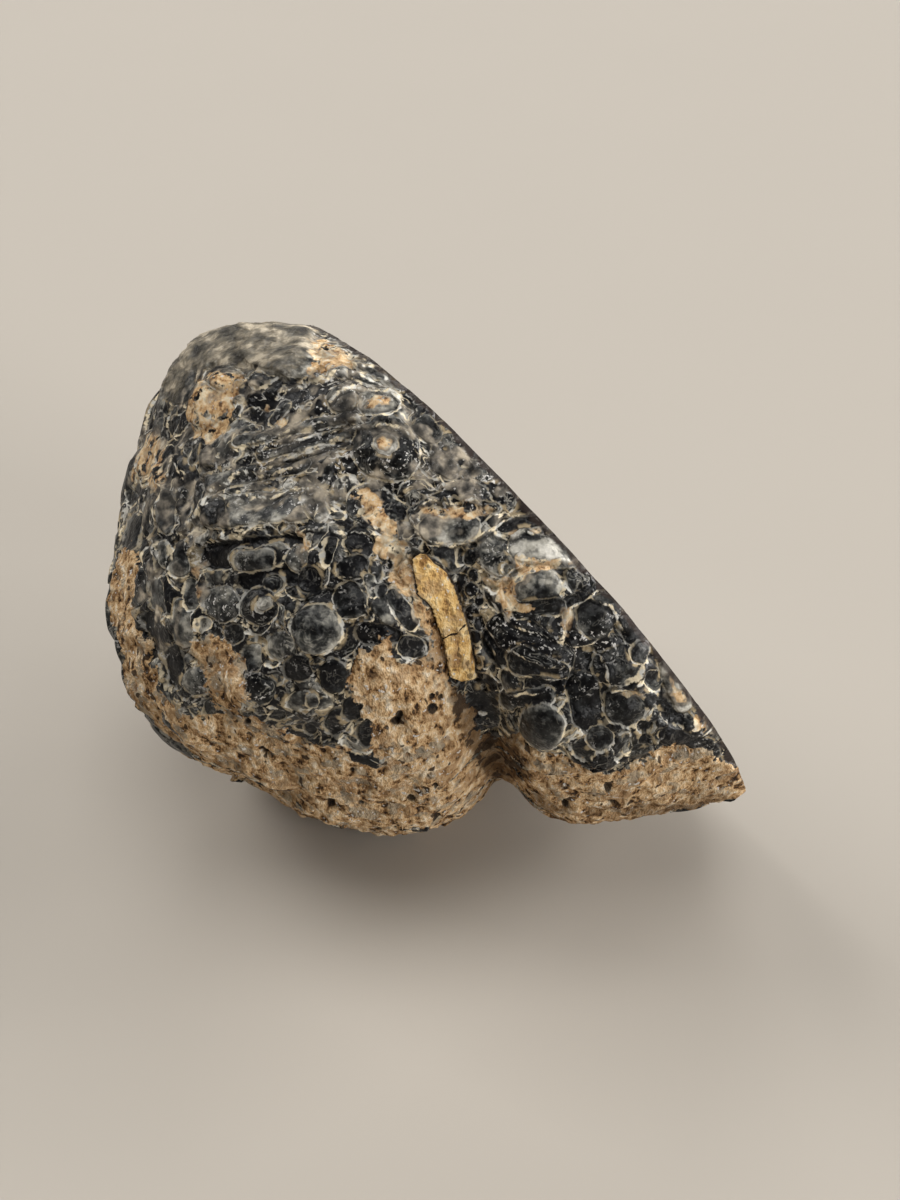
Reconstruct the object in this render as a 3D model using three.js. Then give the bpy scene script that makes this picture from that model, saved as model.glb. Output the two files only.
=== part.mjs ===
// Half of a black chalcedony geode, sawn flat through the middle and resting on its rind.
// The whole stone is one solid: a lumpy rind with overlapping round growths, ledges, a deep groove with a
// broken flake of tan matrix in it, the flat sawn face, and a small flat spot that it rests on.
// Millimetres, +Z up. The origin is under the middle of the stone, on the surface that it rests on.
//
// The shape is worked out in the stone's own frame, from the centre of the sawn face:
//   a runs along the face's long axis, towards its low tip,
//   b goes from the face into the stone,
//   c runs across the face, from the grooved side to the other side.
import * as THREE from 'three';

// Sawn face and its attitude at rest
const FACE_CENTRE = new THREE.Vector3(11.5, 1.8, 37.4);
const FACE_AZIMUTH = 35.3; // degrees from +X to the way the face looks
const FACE_LIFT = 27.3; // degrees that the face looks up
const FACE_ROLL = 38.9; // degrees that the long axis dips, measured in the face
const HALF_WIDTH = 34.0; // across the face, at its middle

// Outline seen across the stone: angle from the low tip, in degrees, and distance from the face's centre
const OUTLINE = [
  [0, 43.0], [12, 38.6], [28, 35.6], [42, 33.4], [52, 34.0], [62, 36.0], [76, 38.6], [92, 42.4],
  [100, 47.2], [108, 50.2], [120, 50.8], [134, 49.6], [148, 49.0], [160, 48.6], [171, 45.0], [180, 38.6],
];

// Broad swellings and hollows: centre a, b, c, then reach and height
const SWELLINGS = [
  [-7.0, 27.0, -28.0, 17.0, 3.0], // main lobe, on the grooved side
  [14.0, 38.0, 22.0, 20.0, 7.0], // foot
  [-12.0, 36.0, 22.0, 20.0, 3.4], // heel
  [30.0, 12.0, 22.0, 16.0, -4.0], // hollow under the low tip
  [-26.0, 34.0, -14.0, 9.0, 1.8], // shoulder
  [-43.0, 6.0, -9.0, 6.5, 1.4], // swelling by the high end of the face
  [-35.0, 0.0, -18.0, 7.0, -1.3], // worn edge of the face, at that end
  [18.0, 8.0, -30.0, 9.0, 1.6], // swelling of the wing
  [-26.0, 10.0, 30.0, 13.0, 2.4], // lobe on the other side
  [6.0, 16.0, 33.0, 8.0, -1.8], // dip beside that lobe
];

// Groove between the main lobe and the wing: its course a, b, c over the rind, and its depth. It runs on
// under the stone, as a waist between the two.
const GROOVE = [
  [-16.7, 11.1, -31.0, 0.8], [-9.8, 12.3, -31.9, 2.0], [-3.3, 13.2, -31.2, 3.2], [3.4, 15.4, -28.8, 4.6],
  [9.8, 18.2, -24.3, 6.0], [17.2, 21.3, -12.6, 6.2], [23.0, 24.0, 3.0, 5.4], [25.0, 24.5, 14.0, 5.2],
  [24.0, 21.5, 24.0, 4.6], [17.0, 16.0, 32.0, 2.6],
];
const GROOVE_HALF_WIDTH = 4.4;

// Flake of matrix left standing in the groove, from its top to its foot
const FLAKE = [[-7.0, 12.0], [5.5, 17.0]];
const FLAKE_HALF_WIDTH = 1.4; // of its flat top
const FLAKE_SIDE_RUN = 2.4; // out from there, over which its sides drop off
const FLAKE_HEIGHT = 1.5;

// Growth ledges on the grooved side: each steps down across a line from one a, b to the next
const LEDGES = [
  [[-33.0, 29.0], [-22.8, 20.8], [-16.6, 15.6], [-9.0, 8.7]],
  [[-36.0, 22.0], [-28.0, 14.5], [-21.0, 9.5], [-13.0, 4.0]],
  [[-39.0, 17.0], [-33.0, 10.0], [-27.0, 5.0], [-21.0, 1.0]],
];
const LEDGE_HEIGHT = 1.3;
const LEDGE_RUN = 6.0; // back from the edge, over which a ledge rises

// Round growths on the grooved side that stand out from a step away: a, b, radius and height
const GROWTHS = [
  [-8.8, 24.7, 4.8, 1.6], [-15.2, 27.7, 3.8, 1.2], [-20.0, 24.7, 5.0, 1.4], [-4.6, 18.6, 4.4, 1.7],
  [-11.9, 16.9, 4.4, 1.5], [-9.0, 34.0, 4.2, 1.3], [-25.9, 31.0, 4.6, 1.5], [-20.5, 35.6, 5.0, 1.5],
  [-14.2, 39.9, 3.6, 1.2], [-2.5, 28.5, 3.8, 1.2], [-18.8, 5.3, 5.0, 1.3], [-27.5, 5.0, 4.4, 1.2],
  [-33.0, 10.0, 4.4, 1.1], [4.4, 4.1, 4.4, 1.2], [11.7, 1.6, 4.0, 1.2], [17.4, 4.1, 3.6, 1.2],
  [21.5, 6.0, 3.8, 1.2], [16.8, 13.3, 4.0, 1.6], [22.5, 11.0, 3.4, 1.1], [26.5, 4.7, 3.2, 1.1],
  [10.0, 8.5, 4.2, 1.3], [-33.5, 26.0, 4.2, 1.3], [-37.0, 14.5, 4.0, 1.2], [-28.0, 22.5, 4.0, 1.2],
];

// Pits in the matrix on the grooved side: a, b, radius and depth
const PITS = [
  [4.7, 25.9, 2.2, 1.2], [-4.0, 37.5, 2.2, 1.1], [7.0, 34.0, 2.4, 1.2], [11.5, 30.0, 2.2, 1.1],
  [-10.0, 41.5, 2.2, 1.0], [27.5, 9.5, 2.2, 1.0],
];

// Round growths strewn over the other side and the ends
const STREWN_COUNT = 80;
const STREWN_RADIUS = [3.2, 5.6];
const STREWN_HEIGHT = [0.9, 1.7];
const GROOVED_SIDE_SLOPE = 0.25; // bounds the grooved side, which has none of them, for directions a, c

// Unevenness of the rind: size of the bumps and how far they reach in and out
const BROAD_BUMPS = { size: 17.0, height: 0.9 };
const SMALL_BUMPS = { size: 5.5, height: 0.45 };

// Squares along each side of the grid that is wrapped over the rind
const GRID = 68;

// Lattice numbers that look random: waves along the three axes, and how far they are spread
const HASH_WAVES = [127.1, 311.7, 74.7];
const HASH_SPREAD = 43758.5453;

const degrees = THREE.MathUtils.degToRad;
const clamp = THREE.MathUtils.clamp;
const lerp = THREE.MathUtils.lerp;

// Random number from 0 to 1 for a lattice point, the same on every run
function hash(i, j, k) {
  const wave = Math.sin(i * HASH_WAVES[0] + j * HASH_WAVES[1] + k * HASH_WAVES[2]) * HASH_SPREAD;
  return wave - Math.floor(wave);
}

// Smooth noise from -1 to 1 that varies over a distance of size
function noise(point, size) {
  const cell = [point.x, point.y, point.z].map((v) => Math.floor(v / size));
  const part = [point.x, point.y, point.z].map((v, axis) => v / size - cell[axis]);
  const ease = part.map((t) => t * t * (3 - 2 * t));
  let sum = 0;
  for (let corner = 0; corner < 8; corner++) {
    const step = [corner & 1, (corner >> 1) & 1, (corner >> 2) & 1];
    const weight = step.reduce((w, on, axis) => w * (on ? ease[axis] : 1 - ease[axis]), 1);
    sum += weight * hash(cell[0] + step[0], cell[1] + step[1], cell[2] + step[2]);
  }
  return 2 * sum - 1;
}

// Distance from the face's centre to the outline, at an angle in degrees, on a smooth curve through its points
function outlineRadius(angle) {
  const last = OUTLINE.length - 1;
  let i = 0;
  while (i < last - 1 && OUTLINE[i + 1][0] < angle) {
    i++;
  }
  const slope = (k) => {
    const before = OUTLINE[Math.max(k - 1, 0)];
    const after = OUTLINE[Math.min(k + 1, last)];
    return (after[1] - before[1]) / (after[0] - before[0]);
  };
  const [x0, y0] = OUTLINE[i];
  const [x1, y1] = OUTLINE[i + 1];
  const run = x1 - x0;
  const t = clamp((angle - x0) / run, 0, 1);
  const s = 1 - t;
  const fromStart = s * s * ((1 + 2 * t) * y0 + t * run * slope(i));
  const fromEnd = t * t * ((3 - 2 * t) * y1 - s * run * slope(i + 1));
  return fromStart + fromEnd;
}

// Distance from the face's centre to the smooth form along a unit direction (a, b, c)
function formRadius(direction) {
  const angle = THREE.MathUtils.radToDeg(Math.atan2(Math.max(direction.y, 0), direction.x));
  const inPlane = Math.hypot(direction.x, direction.y);
  return 1 / Math.hypot(inPlane / outlineRadius(angle), direction.z / HALF_WIDTH);
}

// Point of the smooth form straight out from the face's centre through a point
function ontoForm(point) {
  const direction = point.clone().normalize();
  return direction.multiplyScalar(formRadius(direction));
}

// Point of the smooth form at a, b, on the grooved side
function onForm([a, b]) {
  const angle = THREE.MathUtils.radToDeg(Math.atan2(b, a));
  const share = Math.min(Math.hypot(a, b) / outlineRadius(angle), 1);
  return new THREE.Vector3(a, b, -HALF_WIDTH * Math.sqrt(1 - share * share));
}

// Nearest place on a line of points: the distance to it and how far along the line it is, in points
function nearestOnLine(point, line) {
  let best = { distance: Infinity, place: 0, part: 0 };
  for (let i = 0; i < line.length - 1; i++) {
    const segment = new THREE.Line3(line[i], line[i + 1]);
    const part = segment.closestPointToPointParameter(point, true);
    const distance = segment.at(part, new THREE.Vector3()).distanceTo(point);
    if (distance < best.distance) {
      best = { distance, place: i, part };
    }
  }
  return best;
}

// Broad swellings, hollows and uneven bumps
function broadHeight(point) {
  let height = 0;
  for (const [a, b, c, reach, rise] of SWELLINGS) {
    const away = point.distanceTo(new THREE.Vector3(a, b, c)) / reach;
    height += rise * Math.exp(-away * away);
  }
  for (const { size, height: rise } of [BROAD_BUMPS, SMALL_BUMPS]) {
    height += rise * noise(point, size);
  }
  return height;
}

// Groove, as a depth, with a round bottom
const grooveLine = GROOVE.map(([a, b, c]) => ontoForm(new THREE.Vector3(a, b, c)));
function grooveDepth(point) {
  const { distance, place, part } = nearestOnLine(point, grooveLine);
  const depth = lerp(GROOVE[place][3], GROOVE[place + 1][3], part);
  return depth * Math.exp(-((distance / GROOVE_HALF_WIDTH) ** 2));
}

// Flake, as a plate with steep sides
const flakeLine = FLAKE.map(onForm);
function flakeHeight(point) {
  const { distance } = nearestOnLine(point, flakeLine);
  return FLAKE_HEIGHT * clamp(1 - (distance - FLAKE_HALF_WIDTH) / FLAKE_SIDE_RUN, 0, 1);
}

// Ledges: each rises slowly to its edge and drops off at once
const ledgeLines = LEDGES.map((line) => line.map(onForm));
function ledgeHeight(point) {
  let height = 0;
  for (const line of ledgeLines) {
    const { distance, place, part } = nearestOnLine(point, line);
    const ahead = new THREE.Vector3().subVectors(line[place + 1], line[place]);
    const foot = new THREE.Vector3().copy(line[place]).addScaledVector(ahead, part);
    const above = new THREE.Vector3().subVectors(point, foot);
    const side = above.x * ahead.y - above.y * ahead.x;
    const inLine = (place > 0 || part > 0) && (place < line.length - 2 || part < 1);
    if (inLine && side < 0) {
      height = Math.max(height, LEDGE_HEIGHT * clamp(1 - distance / LEDGE_RUN, 0, 1));
    }
  }
  return height;
}

// Growth at a random place, or null where that place is on the grooved side
function strewnGrowth(number) {
  const turn = 2 * Math.PI * hash(number, 1, 0);
  const b = hash(number, 2, 0);
  const flat = Math.sqrt(1 - b * b);
  const direction = new THREE.Vector3(flat * Math.cos(turn), b, flat * Math.sin(turn));
  if (direction.z < -GROOVED_SIDE_SLOPE * (1 - direction.x)) {
    return null;
  }
  return {
    centre: ontoForm(direction),
    radius: lerp(...STREWN_RADIUS, hash(number, 3, 0)),
    height: lerp(...STREWN_HEIGHT, hash(number, 4, 0)),
  };
}

// Round growths: flat-topped domes, the listed ones and those strewn by chance
const listedGrowths = GROWTHS.map(([a, b, radius, height]) => ({ centre: onForm([a, b]), radius, height }));
const strewnGrowths = Array.from({ length: STREWN_COUNT }, (_, i) => strewnGrowth(i + 1));
const growths = [...listedGrowths, ...strewnGrowths.filter((growth) => growth !== null)];

function growthHeight(point) {
  let top = 0;
  for (const { centre, radius, height } of growths) {
    const away = point.distanceTo(centre) / radius;
    top = Math.max(top, height * (1 - away ** 2));
  }
  return top;
}

// Pits, as a depth
const pits = PITS.map(([a, b, radius, depth]) => ({ centre: onForm([a, b]), radius, depth }));
function pitDepth(point) {
  let deepest = 0;
  for (const { centre, radius, depth } of pits) {
    deepest = Math.max(deepest, depth * (1 - (point.distanceTo(centre) / radius) ** 2));
  }
  return deepest;
}

// Point of the rind along a unit direction
function rindPoint(direction) {
  const radius = formRadius(direction);
  const point = direction.clone().multiplyScalar(radius);
  const out = broadHeight(point) + flakeHeight(point) + ledgeHeight(point) + growthHeight(point);
  const inward = grooveDepth(point) + pitDepth(point);
  return direction.clone().multiplyScalar(radius + out - inward);
}

// Direction over the half sphere for a point of the square grid, u and v from -1 to 1. The edge of the square
// goes to the edge of the sawn face, and every square covers about the same area.
function gridDirection(u, v) {
  const ring = Math.max(Math.abs(u), Math.abs(v));
  if (ring === 0) {
    return new THREE.Vector3(0, 1, 0);
  }
  const turn =
    Math.abs(u) >= Math.abs(v)
      ? (Math.PI / 4) * (v / u) + (u < 0 ? Math.PI : 0)
      : Math.PI / 2 - (Math.PI / 4) * (u / v) + (v < 0 ? Math.PI : 0);
  const b = 1 - ring * ring;
  const flat = Math.sqrt(1 - b * b);
  return new THREE.Vector3(flat * Math.cos(turn), b, flat * Math.sin(turn));
}

// Turns a point of the stone's own frame to its place at rest
function toRest() {
  const azimuth = degrees(FACE_AZIMUTH);
  const lift = degrees(FACE_LIFT);
  const roll = degrees(FACE_ROLL);
  const out = new THREE.Vector3(
    Math.cos(azimuth) * Math.cos(lift),
    Math.sin(azimuth) * Math.cos(lift),
    Math.sin(lift),
  );
  const level = new THREE.Vector3(Math.sin(azimuth), -Math.cos(azimuth), 0);
  const up = new THREE.Vector3().crossVectors(level, out);
  const along = level.multiplyScalar(Math.cos(roll)).addScaledVector(up, -Math.sin(roll));
  const inward = out.clone().negate();
  const across = new THREE.Vector3().crossVectors(along, inward);
  return new THREE.Matrix4().makeBasis(along, inward, across).setPosition(FACE_CENTRE);
}

// Places of the grid's points, row after row, as one list of x, y, z
function gridPositions() {
  const rest = toRest();
  const positions = [];
  for (let i = 0; i <= GRID; i++) {
    for (let j = 0; j <= GRID; j++) {
      const point = rindPoint(gridDirection((2 * i) / GRID - 1, (2 * j) / GRID - 1)).applyMatrix4(rest);
      positions.push(point.x, point.y, Math.max(point.z, 0)); // the flat spot is where the form would go lower
    }
  }
  return positions;
}

// Two triangles for each square of the grid, split along the diagonal that runs with the form
function gridTriangles() {
  const side = GRID + 1;
  const triangles = [];
  for (let i = 0; i < GRID; i++) {
    for (let j = 0; j < GRID; j++) {
      const [p, q, r, s] = [i * side + j, (i + 1) * side + j, (i + 1) * side + j + 1, i * side + j + 1];
      const sameHalf = i < GRID / 2 === j < GRID / 2;
      if (sameHalf) {
        triangles.push(p, r, q, p, s, r);
      } else {
        triangles.push(p, s, q, q, s, r);
      }
    }
  }
  return triangles;
}

// Grid points along the edge of the sawn face, once round
function rimCorners() {
  const side = GRID + 1;
  const rim = [];
  for (let k = 0; k < GRID; k++) {
    rim.push(k * side);
  }
  for (let k = 0; k < GRID; k++) {
    rim.push(GRID * side + k);
  }
  for (let k = GRID; k > 0; k--) {
    rim.push(k * side + GRID);
  }
  for (let k = GRID; k > 0; k--) {
    rim.push(k);
  }
  return rim;
}

// Closed surface of the stone: the rind over the grid, and a fan over the sawn face
function stoneGeometry() {
  const positions = gridPositions();
  const triangles = gridTriangles();
  const middle = positions.length / 3;
  positions.push(...FACE_CENTRE.toArray());
  const rim = rimCorners();
  rim.forEach((corner, k) => triangles.push(middle, corner, rim[(k + 1) % rim.length]));
  const geometry = new THREE.BufferGeometry();
  geometry.setAttribute('position', new THREE.Float32BufferAttribute(positions, 3));
  geometry.setIndex(triangles);
  geometry.computeVertexNormals();
  return geometry;
}

const rindMaterial = new THREE.MeshStandardMaterial({ color: 0x3a3936, roughness: 0.45, metalness: 0.0 });
const stone = new THREE.Mesh(stoneGeometry(), rindMaterial);
stone.name = 'geode';

const geode = new THREE.Group();
geode.add(stone);

export default geode;
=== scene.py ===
import math

import bpy
import numpy as np
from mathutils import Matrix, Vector
from mathutils.bvhtree import BVHTree


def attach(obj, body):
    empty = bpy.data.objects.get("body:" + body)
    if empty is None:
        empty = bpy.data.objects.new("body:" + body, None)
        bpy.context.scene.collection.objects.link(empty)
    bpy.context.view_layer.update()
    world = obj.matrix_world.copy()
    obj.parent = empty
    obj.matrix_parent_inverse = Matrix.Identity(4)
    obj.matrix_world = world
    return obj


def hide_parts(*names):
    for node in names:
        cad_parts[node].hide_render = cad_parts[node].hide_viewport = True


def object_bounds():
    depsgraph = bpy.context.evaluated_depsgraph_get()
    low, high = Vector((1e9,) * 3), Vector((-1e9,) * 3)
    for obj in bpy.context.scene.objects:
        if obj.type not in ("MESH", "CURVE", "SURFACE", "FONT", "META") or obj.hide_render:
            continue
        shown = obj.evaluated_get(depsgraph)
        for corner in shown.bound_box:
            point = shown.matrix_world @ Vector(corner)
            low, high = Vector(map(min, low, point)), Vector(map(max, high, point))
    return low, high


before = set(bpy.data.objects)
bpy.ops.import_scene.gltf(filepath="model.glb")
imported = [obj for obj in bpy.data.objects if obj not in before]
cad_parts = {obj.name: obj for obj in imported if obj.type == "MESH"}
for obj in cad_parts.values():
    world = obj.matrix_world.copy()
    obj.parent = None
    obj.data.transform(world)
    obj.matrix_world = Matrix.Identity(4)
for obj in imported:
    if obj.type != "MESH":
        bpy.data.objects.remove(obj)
cad_low, cad_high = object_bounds()

MM = 0.001
TINY = 1e-9
EIGHTH_TURN = math.pi / 4
random = np.random.default_rng(17)

# Sawn face and its attitude, as in the solid, in millimetres and degrees
FACE_CENTRE = np.array([11.5, 1.8, 37.4])
FACE_AZIMUTH = math.radians(35.3)
FACE_LIFT = math.radians(27.3)
FACE_ROLL = math.radians(38.9)

# Camera: it looks along +Y and down. Pixels are those of a picture of 900 x 1200.
PICTURE_SIZE = np.array([900, 1200])
PIXEL = 0.1302  # mm at the face's centre
FACE_CENTRE_PIXEL = np.array([512, 554])
LENS = 50.0
SENSOR = 36.0
CAMERA_ELEVATION = math.radians(40.0)

# Mesh over the rind: squares along each side, and how far the squares crowd towards the side that is seen
GRID = 312
CROWDING = 0.18
SQUARE = 0.33  # rough size of a square in mm
FACET_BLUR = 2.0  # squares, which rounds off the facets of the solid

# Growths strewn over the whole rind, and small beads among them: count, radius in mm, and tones with the
# share of the growths up to them
STREWN_COUNT = 1900
STREWN_RADIUS = (0.7, 3.0)
BEAD_COUNT = 600
BEAD_RADIUS = (0.35, 0.85)
STREWN_TONES = ((0.52, (0.01, 0.10)), (0.84, (0.12, 0.30)), (1.0, (0.30, 0.48)))
STREWN_SMALL = 1.7  # above 1, most of them are small
STREWN_OUTLINE = (0.8, 0.35)  # mean and spread of the strength
STREWN_RINGED = 0.22  # share of them with clear rings inside
STREWN_RISE = (-0.1, 0.55)  # mm
STREWN_DISORDER = 5.0  # mm of height by which the order in which they overlap is shuffled

# Parts that the picture doesn't show, or only from the side: facing is 1 towards the camera and 0 across it
SEEN_FROM = 0.12
SEEN_LOSS = 40.0  # mm of depth that a growth loses for each 1 of facing below that
FAR = 9.0  # mm, for places that a distance doesn't reach
UNSEEN_MATRIX_TOP = 15.0  # mm above the floor
UNSEEN_MATRIX = ((9.0, 3.4), (3.4, 1.4))
UNSEEN_FILM_SIZE = 6.0
UNSEEN_PIT_SIZE = 1.7
FILM_SHIFT = 31.0  # mm that set the noises of films and pits apart from the others
PIT_SHIFT = 57.0
LOW_STAIN_AND_SHADE_HEIGHTS = (32.0, 14.0)  # mm above the floor where the darker brown low down begins and is full, partly a stain and partly painted shade
LOW_STAIN_AND_SHADE_DEPTHS = (26.0, 20.0)  # mm from the sawn face, likewise

# Relief in mm. Lumps and other noises are given as sizes and heights.
RELIEF_SHIFT = -0.5
WOBBLE = ((2.0, 0.20), (0.8, 0.13))
RIND_LUMPS = ((2.4, 0.20), (1.1, 0.10))
CRUST_LUMPS = ((2.6, 0.35), (1.2, 0.18))
FLOW_LUMPS = ((3.4, 0.40), (1.4, 0.10))
SEAM_RIDGE = 0.22
SEAM_GAP = 0.34
SEAM_WOBBLE = 2.0
MATRIX_LUMPS = ((3.4, 0.42), (1.5, 0.40), (0.8, 0.26))
MATRIX_LEVEL = 0.42
HOLLOWS = ((1.6, 0.95), (0.8, 0.65))
HOLLOW_DEPTH = 0.45
SAND_STRETCH = np.array([1.0, 1.0, 0.72])  # grains and hollows are taller than wide
FLOW_STEP = 1.9
FLOW_HEIGHT = 0.20
RIM_FADE = 1.6  # the relief fades out towards the sawn edge over this distance
ROUGH_EDGES = ((3.0, 0.55), (1.3, 0.60), (0.6, 0.36))
PIT_DEPTH = 0.8
GROWTH_DOME = 0.16  # rise of a growth's middle over its edge, of its radius
GROWTH_EDGE = (-0.12, 0.28)  # mm inside the edge where a growth begins and is at full height
FLAKE_LEVEL = 1.2
FLAKE_GAP = 0.5
CRACK_DEPTH = 0.25
HASH_WAVES = np.array([127.1, 311.7, 74.7])
HASH_SPREAD = 43758.5453

# Patterns of the materials
NOISE_SPREAD = 1.6
BEAD_CELL = 1.3  # mm
RING_RADIANS = 11.0  # per mm of distance from a growth's edge
SAWN_LINES = 210.0  # radians from the edge of the sawn face to its middle

# Floor in metres, and softboxes: place in metres, side in metres, power in watts
FLOOR_COLOUR = (0.44, 0.403, 0.355)
FLOOR_GRAIN = (0.405, 0.37, 0.327)
FLOOR_HALF = 4.0
FLOOR_HEIGHT = -0.00002
SOFTBOXES = {
    "right, low": ((3.71, 1.35, 0.80), 1.8, 217.0),
    "right": ((3.64, 0.0, 1.73), 1.6, 42.0),
    "front right": ((2.94, -2.46, 1.21), 1.8, 84.0),
    "back left": ((-1.65, 0.61, 1.81), 1.2, 34.0),
    "back": ((0.01, 2.17, 1.29), 1.0, 12.0),
    "top": ((0.01, -0.2, 2.50), 1.4, 25.0),
}
LIGHT_COLOUR = (1.0, 0.985, 0.96)
SKY_STRENGTH = 0.02

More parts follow.
